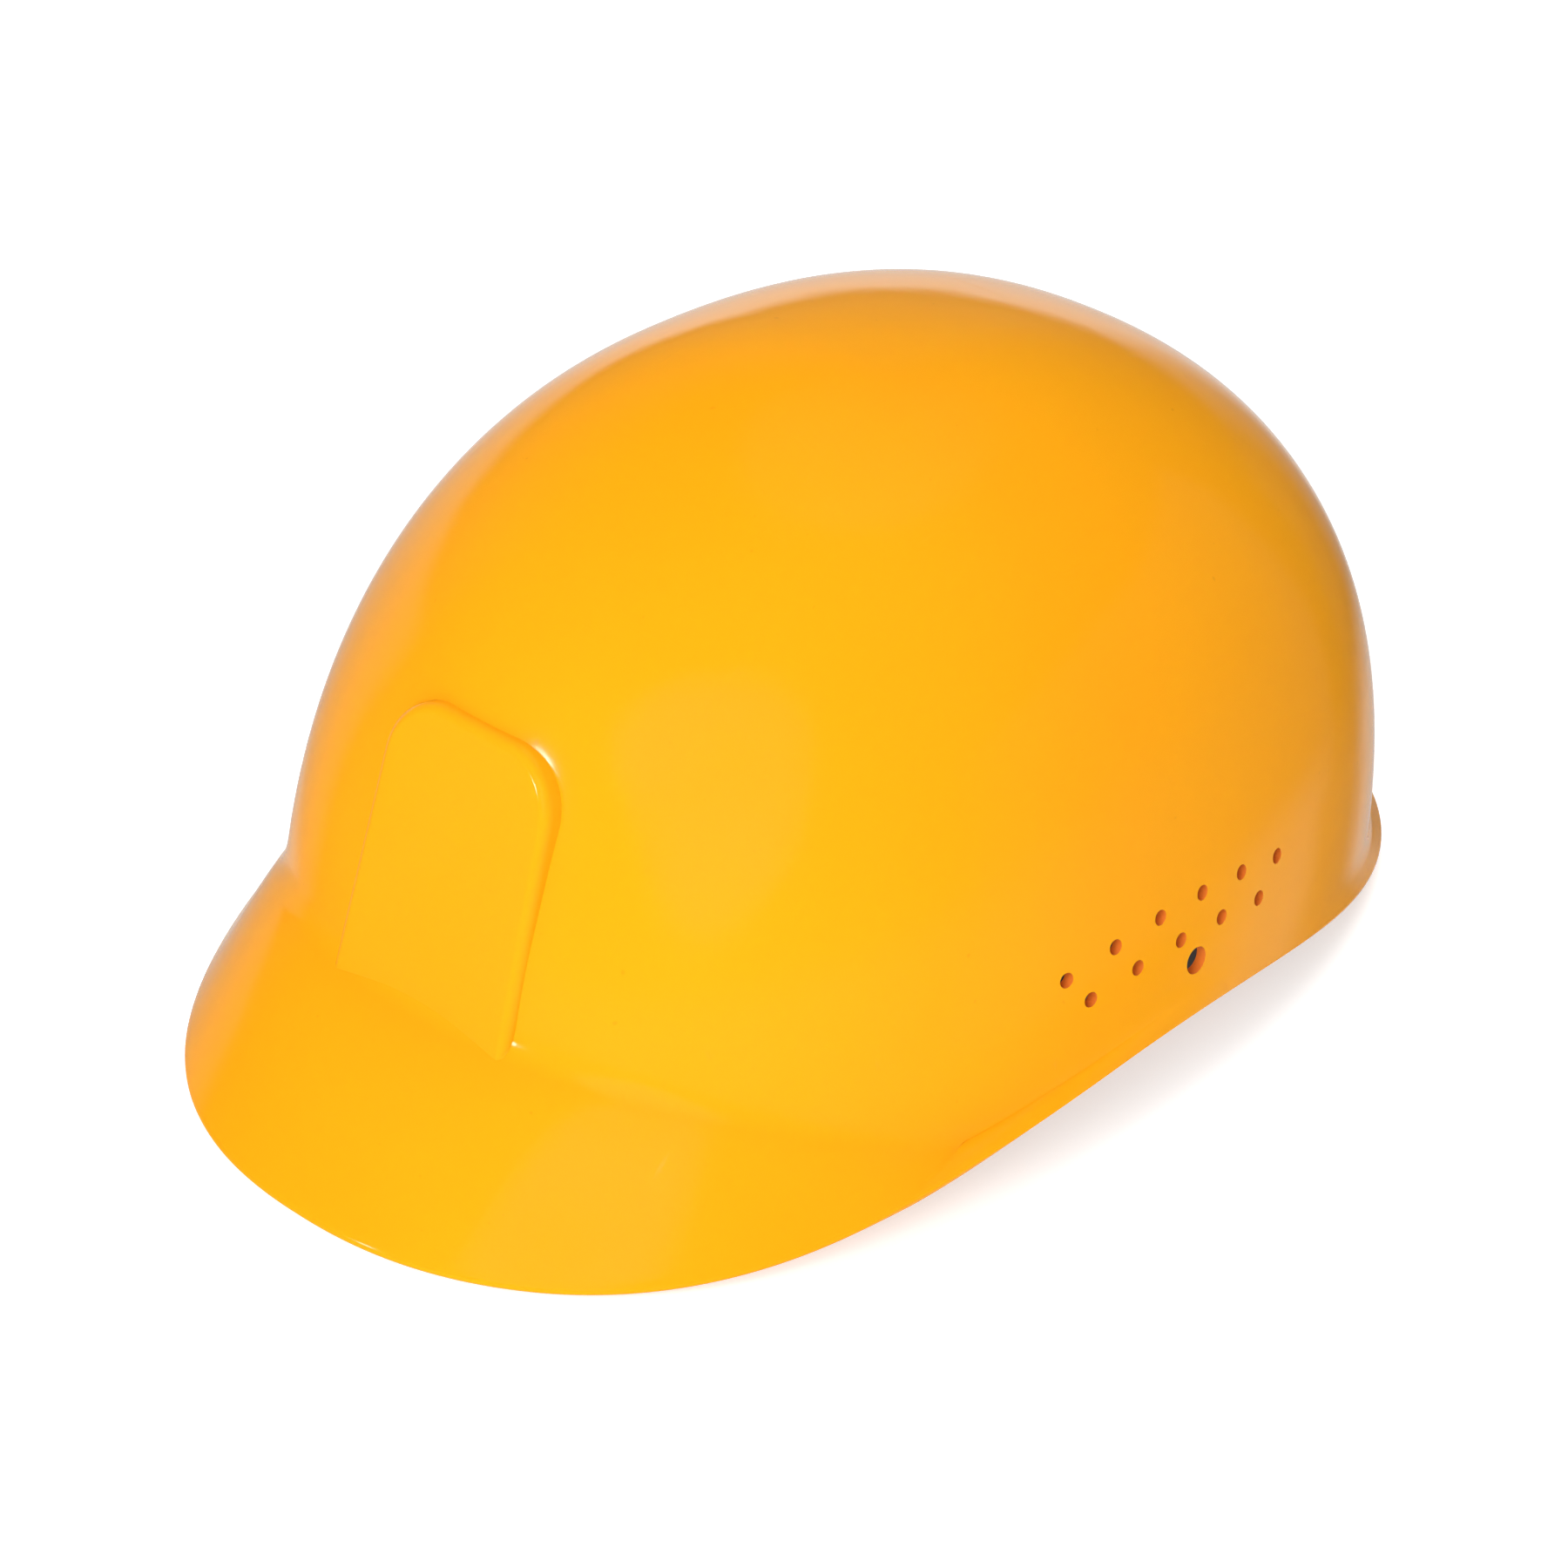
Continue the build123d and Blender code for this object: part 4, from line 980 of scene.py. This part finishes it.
CAMERA_AZIMUTH, CAMERA_ELEVATION, CAMERA_ROLL, CAMERA_DISTANCE = 43.85, 30.81, 0.48, 959.86
CAMERA_TARGET, SENSOR, FOCAL_SHARE = (0.28, -9.4, 39.83), 36.0, 5401.9 / 1800.0
FLOOR_HALF, FLOOR_Z = 6000, -0.5
AMBIENT, CARD_LIGHT, DARK_STUDIO = 0.15, 0.09, 0.045
LAMP_AIM, LAMP_DISTANCE, SPARK_DISTANCE = Vector((0, 0, 0.05)), 2.6, 1.9
LAMPS = (("key", 27, 33, 2.2, 69), ("top", -160, 68, 2.2, 37))  # name, azimuth, elevation, size, watts


def camera():
    azimuth, elevation = radians(CAMERA_AZIMUTH), radians(CAMERA_ELEVATION)
    roll = radians(CAMERA_ROLL)
    away = Vector((sin(azimuth) * cos(elevation), -cos(azimuth) * cos(elevation), sin(elevation)))
    right = Vector((cos(azimuth), sin(azimuth), 0))
    up = away.cross(right)
    turned_right = right * cos(roll) + up * sin(roll)
    turned_up = up * cos(roll) - right * sin(roll)
    data = bpy.data.cameras.new("camera")
    data.lens, data.sensor_width = SENSOR * FOCAL_SHARE, SENSOR
    data.clip_start, data.clip_end = 0.05, 50.0
    obj = bpy.data.objects.new("camera", data)
    bpy.context.scene.collection.objects.link(obj)
    axes = Matrix((turned_right, turned_up, away)).transposed().to_4x4()
    place = Vector(CAMERA_TARGET) + away * CAMERA_DISTANCE
    obj.matrix_world = Matrix.Translation(place * MM) @ axes
    bpy.context.scene.camera = obj


def floor():
    corners = [(x * FLOOR_HALF, y * FLOOR_HALF, FLOOR_Z) for x, y in ((-1, -1), (1, -1), (1, 1), (-1, 1))]
    obj = build("studio_floor", corners, [(0, 1, 2, 3)], floor_material(), smooth=False)
    obj.visible_glossy = False


def area_light(name, place, size, power, shape="DISK"):
    data = bpy.data.lights.new(name, "AREA")
    data.shape, data.size = shape, size
    data.energy = power
    obj = bpy.data.objects.new(name, data)
    bpy.context.scene.collection.objects.link(obj)
    obj.location = place
    obj.rotation_euler = (LAMP_AIM - Vector(place)).to_track_quat("-Z", "Y").to_euler()
    return obj


def world_light():
    """White to the eye, dim to soft light, and in reflections a dark studio with a white sweep behind.

    turn runs from -1 to 1 over the full circle, 0 ahead of the cap and positive on its left side, and height
    from 0 straight down to 1 straight up.
    """
    world = bpy.data.worlds.new("studio")
    bpy.context.scene.world = world
    world.use_nodes = True
    tree = world.node_tree
    back = tree.nodes["Background"]
    split = node(tree, "ShaderNodeSeparateXYZ")
    tree.links.new(node(tree, "ShaderNodeTexCoord").outputs["Generated"], split.inputs["Vector"])
    x, y, z = split.outputs["X"], split.outputs["Y"], split.outputs["Z"]
    turn = maths(tree, "DIVIDE", maths(tree, "ARCTAN2", x, maths(tree, "MULTIPLY", y, -1.0)), pi)
    other = maths(tree, "MULTIPLY", turn, -1.0)
    height = maths(tree, "ADD", maths(tree, "MULTIPLY", z, 0.5), 0.5)
    low = grey_ramp(tree, height, [(0.0, 0.55), (0.40, 0.68), (0.52, 0.86), (0.56, 0.12), (0.58, 0.10),
                                   (0.60, 0.15), (0.78, 0.09), (0.86, 0.0)])
    across = grey_ramp(tree, other, [(0.42, 0.0), (0.46, 0.28), (0.56, 0.42), (0.655, 0.68), (0.70, 1.0),
                                    (0.83, 1.0), (0.875, 0.35), (0.94, 0.05)])
    sweep = maths(tree, "MULTIPLY", low, across)
    under = node(tree, "ShaderNodeMapRange")
    tree.links.new(z, under.inputs["Value"])
    for socket, value in zip(under.inputs[1:5], (-0.31, -0.44, 0.0, 0.5)):
        socket.default_value = value
    far_under = grey_ramp(tree, other, [(0.45, 0.0), (0.52, 1.0), (0.93, 1.0), (0.99, 0.2)])
    near_under = grey_ramp(tree, turn, [(0.76, 0.0), (0.84, 0.8), (0.90, 0.8), (0.94, 0.2)])
    beside = maths(tree, "MULTIPLY", under.outputs["Result"], maths(tree, "MAXIMUM", far_under, near_under))
    card_across = grey_ramp(tree, turn, [(0.5, 0.0), (0.62, 0.8), (0.94, 1.0), (0.955, 0.0)])
    card_up = grey_ramp(tree, maths(tree, "ABSOLUTE", z), [(0.40, 1.0), (0.43, 0.0)])
    card = maths(tree, "MULTIPLY", maths(tree, "MULTIPLY", card_across, card_up), CARD_LIGHT)
    dim = maths(tree, "ADD", card, DARK_STUDIO)
    total = maths(tree, "ADD", maths(tree, "MAXIMUM", sweep, beside), dim)
    rays = node(tree, "ShaderNodeLightPath")
    seen = node(tree, "ShaderNodeMix", data_type="FLOAT")
    tree.links.new(rays.outputs["Is Glossy Ray"], seen.inputs[0])
    seen.inputs[2].default_value = AMBIENT
    tree.links.new(total, seen.inputs[3])
    shown = maths(tree, "MAXIMUM", rays.outputs["Is Camera Ray"], seen.outputs[0])
    tree.links.new(shown, back.inputs["Color"])
    back.inputs["Strength"].default_value = 1.0


def direction(azimuth, elevation, distance):
    """Point at a distance in metres; azimuth 0 is ahead of the cap, and 90 on its left side."""
    a, e = radians(azimuth), radians(elevation)
    return (sin(a) * cos(e) * distance, -cos(a) * cos(e) * distance, sin(e) * distance)


camera()
floor()
world_light()
for name, azimuth, elevation, size, power in LAMPS:
    lamp = area_light(name, direction(azimuth, elevation, LAMP_DISTANCE), size, power)
    lamp.visible_glossy = False
area_light("spark", direction(-20, 14, SPARK_DISTANCE), 0.16, 2.2, "SQUARE")
scene = bpy.context.scene
scene.view_settings.view_transform = "Standard"
scene.view_settings.look = "None"
